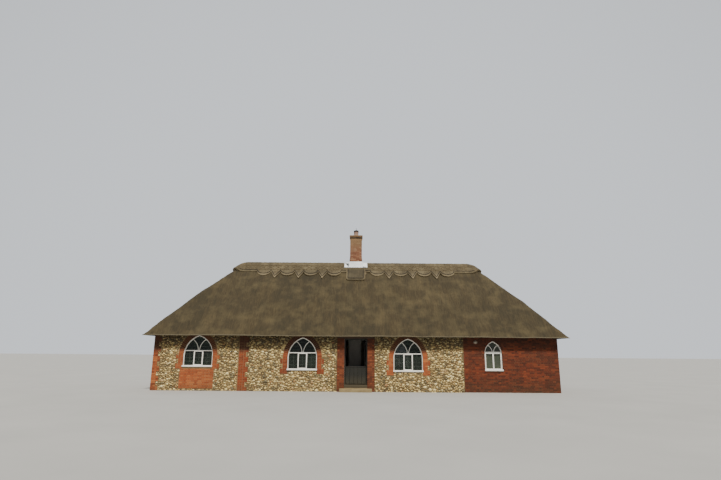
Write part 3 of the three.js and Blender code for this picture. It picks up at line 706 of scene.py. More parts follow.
def bed_flints(name, side, a0, a1, windows):
    """Sets copies of the modelled flints into one length of wall."""
    origin, along, out = (np.array(part) for part in SIDES[side])
    corners, faces, tones = [], [], []
    count = 0
    for a, z, radius in scatter(side, a0, a1, windows):
        shape, sides = cobbles[draw.randrange(len(cobbles))]
        turn = draw.uniform(0, 2 * math.pi)
        cos, sin = math.cos(turn), math.sin(turn)
        across = shape[:, 0] * cos - shape[:, 1] * sin
        upward = shape[:, 0] * sin + shape[:, 1] * cos
        wide, tall, proud = (draw.uniform(*spread) for spread in (FLINT_WIDE, FLINT_TALL, FLINT_PROUD))
        height = np.clip(z + upward * radius * tall, FLINT_FOOT, None)
        corners.append(
            origin + np.outer(a + across * radius * wide, along) + np.outer(shape[:, 2] * proud, out)
            + np.outer(height, (0, 0, 1))
        )
        faces += [[index + count for index in side_face] for side_face in sides]
        tones += [draw.random()] * len(sides)
        count += len(shape)
    piece = drawn(name, np.concatenate(corners), faces=faces)
    piece.data.attributes.new("tone", "FLOAT", "FACE").data.foreach_set("value", tones)
    piece.data.polygons.foreach_set("use_smooth", [True] * len(faces))
    piece.data.materials.append(knapped_flint)
    stand_for(piece, [])


PIER_FROM, PIER_TO = pier_low.x, pier_high.x
DOOR_PIER_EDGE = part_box("door_pier_right")[1].x
for name, side, start, end, labels in (
    ("flints_front_left", "front", -HALF_LENGTH, PIER_FROM, ["front_window_1"]),
    ("flints_front_middle", "front", PIER_TO, -DOOR_PIER_EDGE, ["front_window_2"]),
    ("flints_front_right", "front", DOOR_PIER_EDGE, BRICK_START, ["front_window_3"]),
    ("flints_left_end", "left", -HALF_DEPTH, HALF_DEPTH, []),
    ("flints_back_right", "back", -BRICK_START, -PIER_TO, ["back_window_1"]),
    ("flints_back_left", "back", -PIER_FROM, HALF_LENGTH, ["back_window_2"]),
):
    bed_flints(name, side, start, end, [openings[label] for label in labels])

# Windows: white painted softwood frames set back in the openings. The head is two bent bars that meet in a
# point, the middle light is a casement, and two curved bars spring from the transom to the arch. The panes
# are leaded: clear over the dark rooms, and obscured by net in the lower lights of the narrow windows.
FRAME_WIDTH = 0.042
FRAME_FRONT, FRAME_BACK = 0.05, 0.14
BAR_FRONT, BAR_BACK = 0.06, 0.1101
CASEMENT_FRONT = 0.052
SILL_TALL = 0.075
SILL_REACH = 0.05
SILL_FALL = 0.018
MULLION = 0.04
MIDDLE_LIGHT = 0.2
RAIL, BOTTOM_RAIL = 0.028, 0.033
WIDE_TRANSOM, NARROW_TRANSOM = 0.042, 0.072
TRACERY = 0.026
TRACERY_START, TRACERY_CURVE = 0.03, 0.9
ARC_STEPS = 14
EASE = 0.004
WELD = 1e-5
# Bars that cross are set back by whole nudges, so that no two faces coincide, and walls keep a hairline
NUDGE, HAIR = 0.001, 0.0003
CAME, CAME_DEEP = 0.006, 0.004
CAME_SPACING, CAME_TUCK = 0.17, 0.01
CAME_CLEAR, CAME_HEAD = 0.06, 0.2
WIDE_CAMES, NARROW_CAMES = (-0.415, 0.0, 0.415), (-0.19, 0.19)

white_paint, white_shader = finish("white_paint", 0.42)
paint_tone = ramp(white_paint, cloud(white_paint, 3, detail=5), [(0.3, "edeae0"), (0.6, "f9f7f0")])
runs = cloud(white_paint, 14, (1, 1, 0.25), detail=5)
paint_tone = blend(white_paint, sums(white_paint, "MULTIPLY", runs, 0.16), paint_tone, "b0a894")
wire(white_paint, white_shader, paint_tone, [(cloud(white_paint, 90, (1, 1, 0.2)), 0.25, 0.001)])

lead_came, came_shader = finish("lead_came", 0.55)
wire(lead_came, came_shader, ramp(lead_came, cloud(lead_came, 20), [(0.3, "4b4e4b"), (0.7, "646963")]))


def overlay(material, factor, hexed):
    """Blends one more colour over a finished material."""
    base = material.node_tree.nodes["Principled BSDF"].inputs["Base Color"]
    material.node_tree.links.new(blend(material, factor, base.links[0].from_socket, hexed), base)


def glazing(name, roughness, opacity, stops):
    """Window glass that is slightly wavy and clouded."""
    material, shader = finish(name, roughness)
    shader.inputs["Alpha"].default_value = opacity
    tone = ramp(material, cloud(material, 1.7, detail=3), stops)
    wire(material, shader, tone, [(cloud(material, 3.5, detail=2), 0.2, 0.01)])
    return material


clear_glass = glazing("clear_glass", 0.06, 0.62, [(0.3, "141d15"), (0.7, "232f24")])
obscured_glass = glazing("obscured_glass", 0.3, 0.95, [(0.3, "414739"), (0.7, "525846")])
folds = between(obscured_glass, cloud(obscured_glass, 22, (1, 1, 0.06)), 0.4, 0.6, 0.0, 0.45)
overlay(obscured_glass, folds, "34392d")
in_arch = sums(obscured_glass, "GREATER_THAN", coordinate(obscured_glass, 2), TRANSOM["front_window_4"])
overlay(obscured_glass, sums(obscured_glass, "MULTIPLY", in_arch, 0.75), "1a2018")


def sized(length, depth, height=1):
    """Gives a new primitive its measures and puts its place in its mesh."""
    made = bpy.context.object
    made.scale = (length, depth, height)
    bpy.ops.object.transform_apply(location=True, rotation=False, scale=True)
    return made


def block(x0, x1, y0, y1, z0, z1):
    """A sawn block between its six faces."""
    bpy.ops.mesh.primitive_cube_add(size=1, location=((x0 + x1) / 2, (y0 + y1) / 2, (z0 + z1) / 2))
    return sized(abs(x1 - x0), abs(y1 - y0), abs(z1 - z0))


def weld():
    """Merges corners that meet and closes the mesh again."""
    bpy.ops.mesh.select_all(action="SELECT")
    bpy.ops.mesh.remove_doubles(threshold=WELD)
    bpy.ops.object.mode_set(mode="OBJECT")


def bent(centre_x, centre_z, inner, outer, y0, y1, turn, foot=0.0):
    """A bar bent round an upright arc from the level of its centre, on a straight foot below it."""
    start = (centre_x + (inner + outer) / 2, (y0 + y1) / 2, centre_z - foot)
    bpy.ops.mesh.primitive_plane_add(size=1, location=start)
    made = sized(outer - inner, y1 - y0)
    edit_all()
    if foot:
        bpy.ops.mesh.extrude_region_move(TRANSFORM_OT_translate={"value": (0, 0, foot)})
    bpy.ops.mesh.spin(steps=ARC_STEPS, angle=turn, center=(centre_x, 0, centre_z), axis=(0, 1, 0))
    weld()
    return made


def saw(piece, point, kept_side):
    """Cuts a piece through a plane and closes the cut."""
    pick(piece)
    edit_all()
    bpy.ops.mesh.bisect(plane_co=point, plane_no=kept_side, clear_inner=True, use_fill=True)
    bpy.ops.object.mode_set(mode="OBJECT")


def mirrored(piece, middle_x):
    """A mirrored copy across an upright plane, whose faces are turned outwards when it is joined."""
    copy = piece.copy()
    copy.data = piece.data.copy()
    bpy.context.collection.objects.link(copy)
    copy.data.transform(Matrix.Translation((2 * middle_x, 0, 0)) @ Matrix.Diagonal((-1, 1, 1, 1)))
    return copy


def assemble(parts, name, material, ease=EASE, segments=2, angle=40):
    """Joins bars into one piece, turns their faces outwards and eases their edges."""
    bpy.ops.object.select_all(action="DESELECT")
    for part in parts:
        part.select_set(True)
    bpy.context.view_layer.objects.active = parts[0]
    if len(parts) > 1:
        bpy.ops.object.join()
    piece = bpy.context.object
    edit_all()
    bpy.ops.mesh.normals_make_consistent(inside=False)
    bpy.ops.object.mode_set(mode="OBJECT")
    angle = math.radians(angle)
    if ease:
        worked(piece, "BEVEL", width=ease, segments=segments, limit_method="ANGLE", angle_limit=angle)
    bpy.ops.object.shade_smooth_by_angle(angle=angle)
    piece.name = name
    piece.data.name = name
    piece.data.materials.clear()
    piece.data.materials.append(material)
    piece.select_set(False)
    return piece


def half_width(opening, height, inset):
    """Half the width of an opening at a height, measured to a line inside its edge."""
    rise = max(0.0, height - opening.spring)
    return math.sqrt((opening.radius - inset) ** 2 - rise * rise) - opening.offset


def tracery_bar(opening):
    """The left one of the two curved bars, bent outwards until it meets the bar of the arch."""
    radius = TRACERY_CURVE * opening.half
    centre = Vector((opening.middle - TRACERY_START - radius, opening.transom))
    to_arch = Vector((opening.middle + opening.offset, opening.spring)) - centre
    arch = opening.radius - FRAME_WIDTH / 2
    apart = to_arch.length
    turn = math.acos((apart ** 2 + radius ** 2 - arch ** 2) / (2 * apart * radius))
    turn += math.atan2(to_arch.y, to_arch.x)
    face = WALL_FACE + BAR_FRONT + 4 * NUDGE, WALL_FACE + BAR_BACK - 2 * NUDGE
    return bent(*centre, radius - TRACERY / 2, radius + TRACERY / 2, *face, turn)


def joinery(opening):
    """The painted woodwork of one window, drawn in the front wall."""
    x, half, spring, transom = opening.middle, opening.half, opening.spring, opening.transom
    y = WALL_FACE
    sill_top = opening.sill + SILL_TALL
    beam = WIDE_TRANSOM if opening.wide else NARROW_TRANSOM
    arch = bent(
        x - opening.offset, spring, opening.radius - FRAME_WIDTH, opening.radius - HAIR,
        y + FRAME_FRONT, y + FRAME_BACK, opening.arc, spring - sill_top,
    )
    saw(arch, (x, 0, 0), (1, 0, 0))
    tracery = tracery_bar(opening)
    inside = half_width(opening, transom + beam / 2, FRAME_WIDTH / 2)
    top = transom - beam / 2
    parts = [
        arch, mirrored(arch, x), tracery, mirrored(tracery, x),
        block(x - inside, x + inside, y + BAR_FRONT, y + BAR_BACK, top, top + beam),
    ]
    for middle in (-MIDDLE_LIGHT, MIDDLE_LIGHT) if opening.wide else (0,):
        post = x + middle
        front, back = y + BAR_FRONT + 2 * NUDGE, y + BAR_BACK - NUDGE
        foot = sill_top - 10 * NUDGE
        parts.append(block(post - MULLION / 2, post + MULLION / 2, front, back, foot, transom))
    edge = half - FRAME_WIDTH
    narrow_lights = [(x - edge, x - 3 * NUDGE), (x + 3 * NUDGE, x + edge)]
    for x0, x1 in [(x - MIDDLE_LIGHT, x + MIDDLE_LIGHT)] if opening.wide else narrow_lights:
        front, back = y + CASEMENT_FRONT, y + BAR_BACK - 3 * NUDGE
        lap0, lap1 = x0 + RAIL - 2 * NUDGE, x1 - RAIL + 2 * NUDGE
        parts += [
            block(x0, x0 + RAIL, front, back, sill_top, top),
            block(x1 - RAIL, x1, front, back, sill_top, top),
            block(lap0, lap1, front + NUDGE, back, top - RAIL, top),
            block(lap0, lap1, front + NUDGE, back, sill_top, sill_top + BOTTOM_RAIL),
        ]
    foot, horn, board = opening.sill + HAIR, half + SILL_HORN, half - HAIR
    sill = block(x - horn, x + horn, y - SILL_REACH, y - HAIR, foot, sill_top)
    for corner in sill.data.vertices:
        if corner.co.z > sill_top - NUDGE and corner.co.y < y - SILL_REACH + NUDGE:
            corner.co.z -= SILL_FALL
    parts += [sill, block(x - board, x + board, y - 3 * NUDGE, y + FRAME_BACK, foot, sill_top)]
    return assemble(parts, opening.label + "_joinery", white_paint)


def leading(opening):
    """The lead cames on the panes: level ones at equal heights, and upright ones below the transom."""
    x, y = opening.middle, WALL_FACE + BAR_BACK
    sill_top = opening.sill + SILL_TALL
    cames = []
    height = sill_top + CAME_SPACING
    while height < opening.apex - CAME_HEAD:
        if abs(height - opening.transom) > CAME_CLEAR:
            reach = half_width(opening, height, FRAME_WIDTH - CAME_TUCK)
            cames.append(block(x - reach, x + reach, y - CAME_DEEP, y - NUDGE / 2, height, height + CAME))
        height += CAME_SPACING
    front, back = y - CAME_DEEP - NUDGE, y - 2 * HAIR
    for column in WIDE_CAMES if opening.wide else NARROW_CAMES:
        x0 = x + column - CAME / 2
        cames.append(block(x0, x0 + CAME, front, back, sill_top + CAME_TUCK, opening.transom))
    return assemble(cames, opening.label + "_leading", lead_came, ease=0.0015, segments=1)


for opening in openings.values():
    woodwork, leads = joinery(opening), leading(opening)
    if opening.side == "back":
        for piece in (woodwork, leads):
            piece.data.transform(Matrix.Rotation(math.pi, 4, "Z"))
    stand_for(woodwork, [opening.label + "_frame"])
    stand_for(leads, [])
    dress_node(opening.label + "_glass", clear_glass if opening.wide else obscured_glass)

# Doorway: a heavy oak lintel bears on the two brick piers. Below the door lie a worn stone threshold and a
# sawn step in front of it, both eased at their edges and bedded on the ground.
oak, oak_shader = finish("old_oak", 0.8)
oak_grain = cloud(oak, 6, (0.25, 8, 8), detail=8, roughness=0.7)
wire(
    oak, oak_shader, ramp(oak, oak_grain, [(0.3, "2c2119"), (0.5, "463528"), (0.7, "5d4a39")]),
    [(oak_grain, 0.5, 0.006)],
)
dress_node("door_lintel", oak)

STEP_EASE = 0.018
STEP_TOP = 0.2
THRESHOLD_FROM = STEP_TOP + 0.02
step_low, step_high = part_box("door_step")


def stone_finish(name, stops):
    """Weathered stone or cement with a fine grain."""
    material, shader = finish(name, 0.85)
    tone = ramp(material, cloud(material, 3, detail=7), stops)
    tone = blend(material, sums(material, "MULTIPLY", cloud(material, 0.9, detail=5), 0.4), tone, "6c6249")
    grain, grit = cloud(material, 30, detail=6), cloud(material, 250)
    return material, shader, tone, [(grain, 0.4, 0.006), (grit, 0.3, 0.001)]


sawn_stone, stone_shader, stone_tone, stone_grain = stone_finish(
    "sawn_stone", [(0.3, "786848"), (0.5, "94805a"), (0.7, "a38f66")],
)
# The threshold within the doorway is darkened, partly for dirt and wear and partly as painted shade of the
# doorway.
worn_and_shaded = sums(sawn_stone, "GREATER_THAN", coordinate(sawn_stone, 2), THRESHOLD_FROM)
wire(sawn_stone, stone_shader, blend(sawn_stone, worn_and_shaded, stone_tone, "453d2b"), stone_grain)
flags = [
    block(-DOOR_HALF + NUDGE, DOOR_HALF - NUDGE, WALL_FACE - 3 * NUDGE, step_high.y, 0, step_high.z),
    block(step_low.x, step_high.x, step_low.y, WALL_FACE - HAIR, 0, STEP_TOP),
]
step = assemble(flags, "stone_step", sawn_stone, ease=STEP_EASE, segments=3)
stand_for(step, ["door_step"])

# Stable door: two leaves of five upright boards with V joints, nailed to ledges and hung on long iron straps
# from pins on the right jamb. The upper leaf stands open into the room. The frame is the same dark paint.
BOARDS = 5
BOARD_GAP = 0.0012
V_JOINT = 0.007
LEAF_HALF = 0.478
BOARD_Y = (WALL_FACE + 0.285, WALL_FACE + 0.313)
LEDGE_Y = WALL_FACE + 0.335
STRAP_Y = WALL_FACE + 0.343
LEDGE_TALL, LEDGE_INSET, LEDGE_FROM_END = 0.12, 0.015, 0.13
STRAP_TALL, STRAP_LONG = 0.04, 0.42
KNUCKLE_TALL, KNUCKLE_RADIUS, PIN_RADIUS, KNUCKLE_SIDES = 0.06, 0.014, 0.0063, 16
CAPPING_TALL, CAPPING_REACH = 0.03, 0.018
LAP = 0.002
UPPER_LEAF_OPEN = math.radians(95)
NAIL_RADIUS, NAIL_HIGH = 0.008, 0.004
STRAP_NAILS, FIRST_NAIL, NAIL_SPACING = 4, 0.03, 0.1
PAINTED_LIGHT_FOOT, PAINTED_LIGHT_HEAD = 0.36, 0.8

door_paint, door_shader = finish("door_paint", 0.5)
board_streaks = cloud(door_paint, 3, (10, 10, 0.4), detail=7, roughness=0.6)
door_tone = ramp(door_paint, board_streaks, [(0.3, "181812"), (0.55, "22211a"), (0.8, "2f2e21")])
# Painted light: the boards turn paler towards their foot, where the eaves shade the door less.
paler_foot_light = between(door_paint, coordinate(door_paint, 2), PAINTED_LIGHT_FOOT, PAINTED_LIGHT_HEAD, 0.8, 0.0)
paler_foot_light = sums(door_paint, "MULTIPLY", paler_foot_light, cloud(door_paint, 7, detail=6), clamp=True)
wire(door_paint, door_shader, blend(door_paint, paler_foot_light, door_tone, "5a523c"), [(board_streaks, 0.25, 0.002)])
dress_node("door_frame", door_paint)

wrought_iron, iron_shader = finish("wrought_iron", 0.6)
iron_shader.inputs["Metallic"].default_value = 0.8
iron_tone = cloud(wrought_iron, 40, detail=6)
rust = ramp(wrought_iron, iron_tone, [(0.3, "1c1a18"), (0.6, "2c2825"), (0.75, "3f3129")])
wire(wrought_iron, iron_shader, rust, [(cloud(wrought_iron, 60, detail=4), 0.4, 0.002)])


def bored(x, y, z0, z1, radius, bore):
    """A turned upright, bored through."""
    bpy.ops.mesh.primitive_circle_add(
        vertices=KNUCKLE_SIDES, radius=radius, location=(x, y, z0), fill_type="NGON",
    )
    made = sized(1, 1)
    edit_all()
    bpy.ops.mesh.inset(thickness=radius - bore)
    bpy.ops.mesh.delete(type="FACE")
    bpy.ops.mesh.select_all(action="SELECT")
    bpy.ops.mesh.extrude_region_move(TRANSFORM_OT_translate={"value": (0, 0, z1 - z0)})
    bpy.ops.object.mode_set(mode="OBJECT")
    return made


def stable_leaf(node_name, body, opened):
    """The boards, ledges and ironwork of one leaf, drawn closed and then opened on its pins."""
    low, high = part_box(node_name)
    bottom, top = low.z, high.z
    hinge = next(joint for joint in frame["joints"] if joint["child"] == body)
    hinge_x, hinge_y = hinge["pos_m"][:2]
    width = 2 * LEAF_HALF / BOARDS
    boards = []
    for number in range(BOARDS):
        x0 = -LEAF_HALF + number * width + BOARD_GAP * (number > 0)
        x1 = -LEAF_HALF + (number + 1) * width
        boards.append(block(x0, x1, *BOARD_Y, bottom, top))
    parts = [assemble(boards, body + "_boards", door_paint, ease=V_JOINT, segments=1)]
    rails = []
    ledges = (bottom + LEDGE_FROM_END, top - LEDGE_FROM_END)
    for height in ledges:
        foot, head = height - LEDGE_TALL / 2, height + LEDGE_TALL / 2
        rails.append(block(-LEAF_HALF + LEDGE_INSET, LEAF_HALF, BOARD_Y[1] - LAP, LEDGE_Y, foot, head))
    if opened == 0:
        front, edge = BOARD_Y[0] - CAPPING_REACH, LEAF_HALF - LAP
        rails.append(block(-edge, edge, front, BOARD_Y[0] + 2 * LAP, top - CAPPING_TALL, top - NUDGE))
    parts.append(assemble(rails, body + "_ledges", door_paint, ease=0.005))
    iron = []
    near_pin, past_pin = hinge_x - KNUCKLE_RADIUS, hinge_x - PIN_RADIUS - LAP
    for height in ledges:
        foot, head = height - STRAP_TALL / 2, height + STRAP_TALL / 2
        knuckle = height - KNUCKLE_TALL / 2, height + KNUCKLE_TALL / 2
        iron += [
            block(hinge_x - STRAP_LONG, near_pin, LEDGE_Y - LAP, STRAP_Y, foot, head),
            block(near_pin - 2 * LAP, past_pin, LEDGE_Y - NUDGE, hinge_y, foot, head),
            bored(hinge_x, hinge_y, *knuckle, KNUCKLE_RADIUS, PIN_RADIUS),
        ]
        low_nail, high_nail = height - NAIL_RADIUS, height + NAIL_RADIUS
        for number in range(STRAP_NAILS):
            nail = hinge_x - STRAP_LONG + FIRST_NAIL + number * NAIL_SPACING
            sides = (nail - NAIL_RADIUS, nail + NAIL_RADIUS)
            iron.append(block(*sides, STRAP_Y - NUDGE, STRAP_Y + NAIL_HIGH, low_nail, high_nail))
    parts.append(assemble(iron, body + "_ironwork", wrought_iron, ease=0.002, segments=1))
    pin = Matrix.Translation((hinge_x, hinge_y, 0))
    for part in parts:
        part.data.transform(pin @ Matrix.Rotation(-opened, 4, "Z") @ pin.inverted())
    stand_for(parts[0], [node_name], body)
    stand_for(parts[1], [], body)
    stand_for(parts[2], [], body)


stable_leaf("door_lower_leaf", "lower_leaf", 0.0)
stable_leaf("door_upper_leaf", "upper_leaf", UPPER_LEAF_OPEN)

# A small lamp under the eaves of the brick length: a moulded base with a raised rim, screwed to the bricks,
# and a frosted dome in it. Both are turned round an axis that points out of the wall, a little flattened.
LAMP_DOME = 0.074
LAMP_SEAT, LAMP_PLATE, LAMP_RIM = 0.019, 0.018, 0.026
LAMP_CURVE, LAMP_GAP = 0.006, 0.002
LAMP_SQUASH = 0.86
LAMP_SIDES = 32
lamp_low, lamp_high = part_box("wall_lamp")
lamp_middle = (lamp_low + lamp_high) / 2
lamp_radius = (lamp_high.x - lamp_low.x) / 2
lamp_depth = lamp_high.y - lamp_low.y
lamp_plastic, lamp_shader = finish("lamp_plastic", 0.4)
lamp_tone = ramp(lamp_plastic, cloud(lamp_plastic, 30, detail=4), [(0.3, "7f7367"), (0.7, "8c8072")])
wire(lamp_plastic, lamp_shader, lamp_tone)
frosted, frosted_shader = finish("frosted_dome", 0.25)
wire(frosted, frosted_shader, ramp(frosted, cloud(frosted, 25), [(0.3, "938779"), (0.7, "9c9081")]))


def turned(name, profile, centre, axis, steps):
    """Turns a profile of radius and reach once round an axis through a centre."""
    corners = [centre + Vector((radius, 0, 0)) + axis * reach for radius, reach in profile]
    made = drawn(name, corners, edges=[(i, i + 1) for i in range(len(profile) - 1)])
    edit_all()
    bpy.ops.mesh.spin(steps=steps, angle=2 * math.pi, center=centre, axis=axis)
    weld()
    return made


lamp_centre = Vector((lamp_middle.x, lamp_high.y, lamp_middle.z))
to_lamp = Matrix.Translation(lamp_centre)
flatten = to_lamp @ Matrix.Diagonal((1, 1, LAMP_SQUASH, 1)) @ to_lamp.inverted()
base_profile = [
    (0, 0), (lamp_radius, 0), (lamp_radius, LAMP_PLATE), (lamp_radius - LAMP_CURVE, LAMP_RIM - LAMP_GAP),
    (LAMP_DOME + 2 * LAMP_GAP, LAMP_RIM), (LAMP_DOME + LAMP_GAP, LAMP_SEAT + NUDGE), (0, LAMP_SEAT + NUDGE),
]
dome_profile = [(0, LAMP_SEAT)]
for degrees in range(0, 90, 10):
    angle = math.radians(degrees)
    reach = LAMP_SEAT + (lamp_depth - LAMP_SEAT) * math.sin(angle)
    dome_profile.append((LAMP_DOME * math.cos(angle), reach))
dome_profile.append((0, lamp_depth))
for name, profile, plastic, replaced in (
    ("lamp_base", base_profile, lamp_plastic, ["wall_lamp"]), ("lamp_dome", dome_profile, frosted, []),
):
    made = turned(name, profile, lamp_centre, Vector((0, -1, 0)), LAMP_SIDES)
    made.data.transform(flatten)
    stand_for(assemble([made], name, plastic, ease=0), replaced)

# A low kerb of pale cement render runs along the foot of the plain brick length. It is trowelled against
# the bricks in one strip, with a rounded upper edge, and sheds the splash of rain from the eaves.
KERB_TALL, KERB_REACH, KERB_SUNK, KERB_EASE = 0.06, 0.03, 0.02, 0.012
cement, cement_shader, cement_tone, cement_grain = stone_finish(
    "cement_render", [(0.3, "a09c92"), (0.5, "b6b2a8"), (0.7, "c4c0b6")],
)
wire(cement, cement_shader, cement_tone, cement_grain)
kerb = block(
    BRICK_START, HALF_LENGTH + KERB_REACH, WALL_FACE - KERB_REACH, WALL_FACE + KERB_SUNK, 0, KERB_TALL
)
stand_for(assemble([kerb], "cement_kerb", cement, ease=KERB_EASE), [])

# Thatch: weathered straw laid in thick coats over the rafters. Each slope swells a little, its lower edge is
# cut clean at the eaves, and the straw runs down the slope in slight bundles.
thatch_low, thatch_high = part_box("thatch_front")
EAVES_LENGTH = -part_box("thatch_left_hip")[0].x
EAVES_DEPTH = -thatch_low.y
LIP = 2.53
APEX = thatch_high.z
SLOPE_RISE = APEX - LIP
SWELL = 0.14
BEARING = EAVES_DEPTH - HALF_DEPTH + 0.2
PITCH = SLOPE_RISE / EAVES_DEPTH
HIP_SOFTNESS = 0.22
HIP_LAP = 0.07
STRAW_COLUMN = 0.026
STRAW_ROW = 0.085
NOSE, NOSE_HIGH = 0.04, 0.003
LIP_OUT, LIP_HIGH = 0.004, 0.012
TOE, TOE_DROP = 0.2, 0.004
BUNDLE_DEEP, SMALL_BUNDLE = 0.011, 0.6
LARGE_CELLS, SMALL_CELLS = (7, 1.7), (3, 4.5)
WANDER = 0.02
WAVES, WAVE_LENGTHS = 14, (0.9, 3.5)
LIP_SHARE = 0.6
SETTLE_TOP, SETTLE_EDGE = 0.5, 0.4
UPWARD, OUTWARD = 0.67, 0.74
SMOOTH = math.radians(50)
straws = np.random.default_rng(77)


def slope_height(u):
    """Height of the straw above a level distance in from the eaves."""
    part = u / EAVES_DEPTH
    return LIP + SLOPE_RISE * part + 4 * SWELL * part * (1 - part)


def nearer(u, v, softness):
    """The smaller of two distances, rounded where they are alike."""
    apart = np.clip(0.5 + 0.5 * (v - u) / softness, 0, 1)
    return v * (1 - apart) + u * apart - softness * apart * (1 - apart)


def drift(x, y):
    """Slow unevenness of the roof as a sum of waves in plan."""
    chance = np.random.default_rng(5)
    total = 0
    for _ in range(WAVES):
        heading, phase = chance.uniform(0, 2 * math.pi, 2)
        length = chance.uniform(*WAVE_LENGTHS)
        total = total + np.sin(2 * math.pi * (x * math.cos(heading) + y * math.sin(heading)) / length + phase)
    return total / math.sqrt(WAVES)


def bundles(rows, columns, row_cell, column_cell):
    """Random depths on a coarse grid, drawn out smoothly over a fine one."""
    coarse = straws.uniform(-1, 1, (int(rows / row_cell) + 3, int(columns / column_cell) + 3))
    at_row, at_column = np.arange(rows) / row_cell, np.arange(columns) / column_cell
    r, c = at_row.astype(int), at_column.astype(int)
    row_share, column_share = at_row - r, at_column - c
    row_share = (row_share * row_share * (3 - 2 * row_share))[:, None]
    column_share = (column_share * column_share * (3 - 2 * column_share))[None, :]
    upper = coarse[r][:, c] * (1 - column_share) + coarse[r][:, c + 1] * column_share
    lower = coarse[r + 1][:, c] * (1 - column_share) + coarse[r + 1][:, c + 1] * column_share
    return upper * (1 - row_share) + lower * row_share


def thatch_finish(name, across, stops, moss):
    """Straw that runs across or along the house: fine stalks, bundles and patches of moss and damp."""
    material, shader = finish(name, 0.92)
    fine, coarse = (1, 0.03, 0.03), (1, 0.12, 0.12)
    if across == "y":
        fine, coarse = (0.03, 1, 0.03), (0.12, 1, 0.12)
    stalks = cloud(material, 170, fine, detail=3, roughness=0.7)
    sheaves = cloud(material, 22, coarse, detail=5, roughness=0.65)
    patches = cloud(material, 0.55, detail=7, roughness=0.62)
    coarse_part, fine_part = (sums(material, "MULTIPLY", *part) for part in ((sheaves, 0.55), (stalks, 0.45)))
    colour = ramp(material, sums(material, "ADD", coarse_part, fine_part), stops)
    colour = blend(material, between(material, patches, 0.38, 0.68, 0.0, 0.6), colour, moss)
    streaks = cloud(material, 4.5, coarse, detail=5)
    colour = blend(material, between(material, streaks, 0.4, 0.62, 0.0, 0.42), colour, moss)
    bleached = cloud(material, 1.6, detail=6, roughness=0.6)
    colour = blend(material, between(material, bleached, 0.46, 0.7, 0.0, 0.5), colour, stops[-1][1])
    wire(material, shader, colour, [(sheaves, 0.6, 0.02), (stalks, 0.75, 0.006)])
    return material


def cut_ends(name, grain, stops, depth):
    """The cut ends of straw, as fine dots of light and dark."""
    material, shader = finish(name, 0.95)
    dots = cloud(material, grain, detail=3, roughness=0.7)
    wire(material, shader, ramp(material, dots, stops), [(dots, 0.8, depth)])
    return material


STRAW_TONES = [(0.3, "241d0f"), (0.45, "3b311c"), (0.58, "4c4027"), (0.72, "605437")]
STRAW_MOSS = "292414"
long_straw = thatch_finish("straw_of_the_long_slopes", "x", STRAW_TONES, STRAW_MOSS)
hip_straw = thatch_finish("straw_of_the_hips", "y", STRAW_TONES, STRAW_MOSS)
lip_straw = cut_ends("straw_at_the_lip", 120, [(0.35, "433b2b"), (0.65, "69614b")], 0.006)
soffit_straw = cut_ends("straw_under_the_eaves", 60, [(0.3, "1a140c"), (0.7, "33291a")], 0.01)
LIP_ROWS = (4, 5)


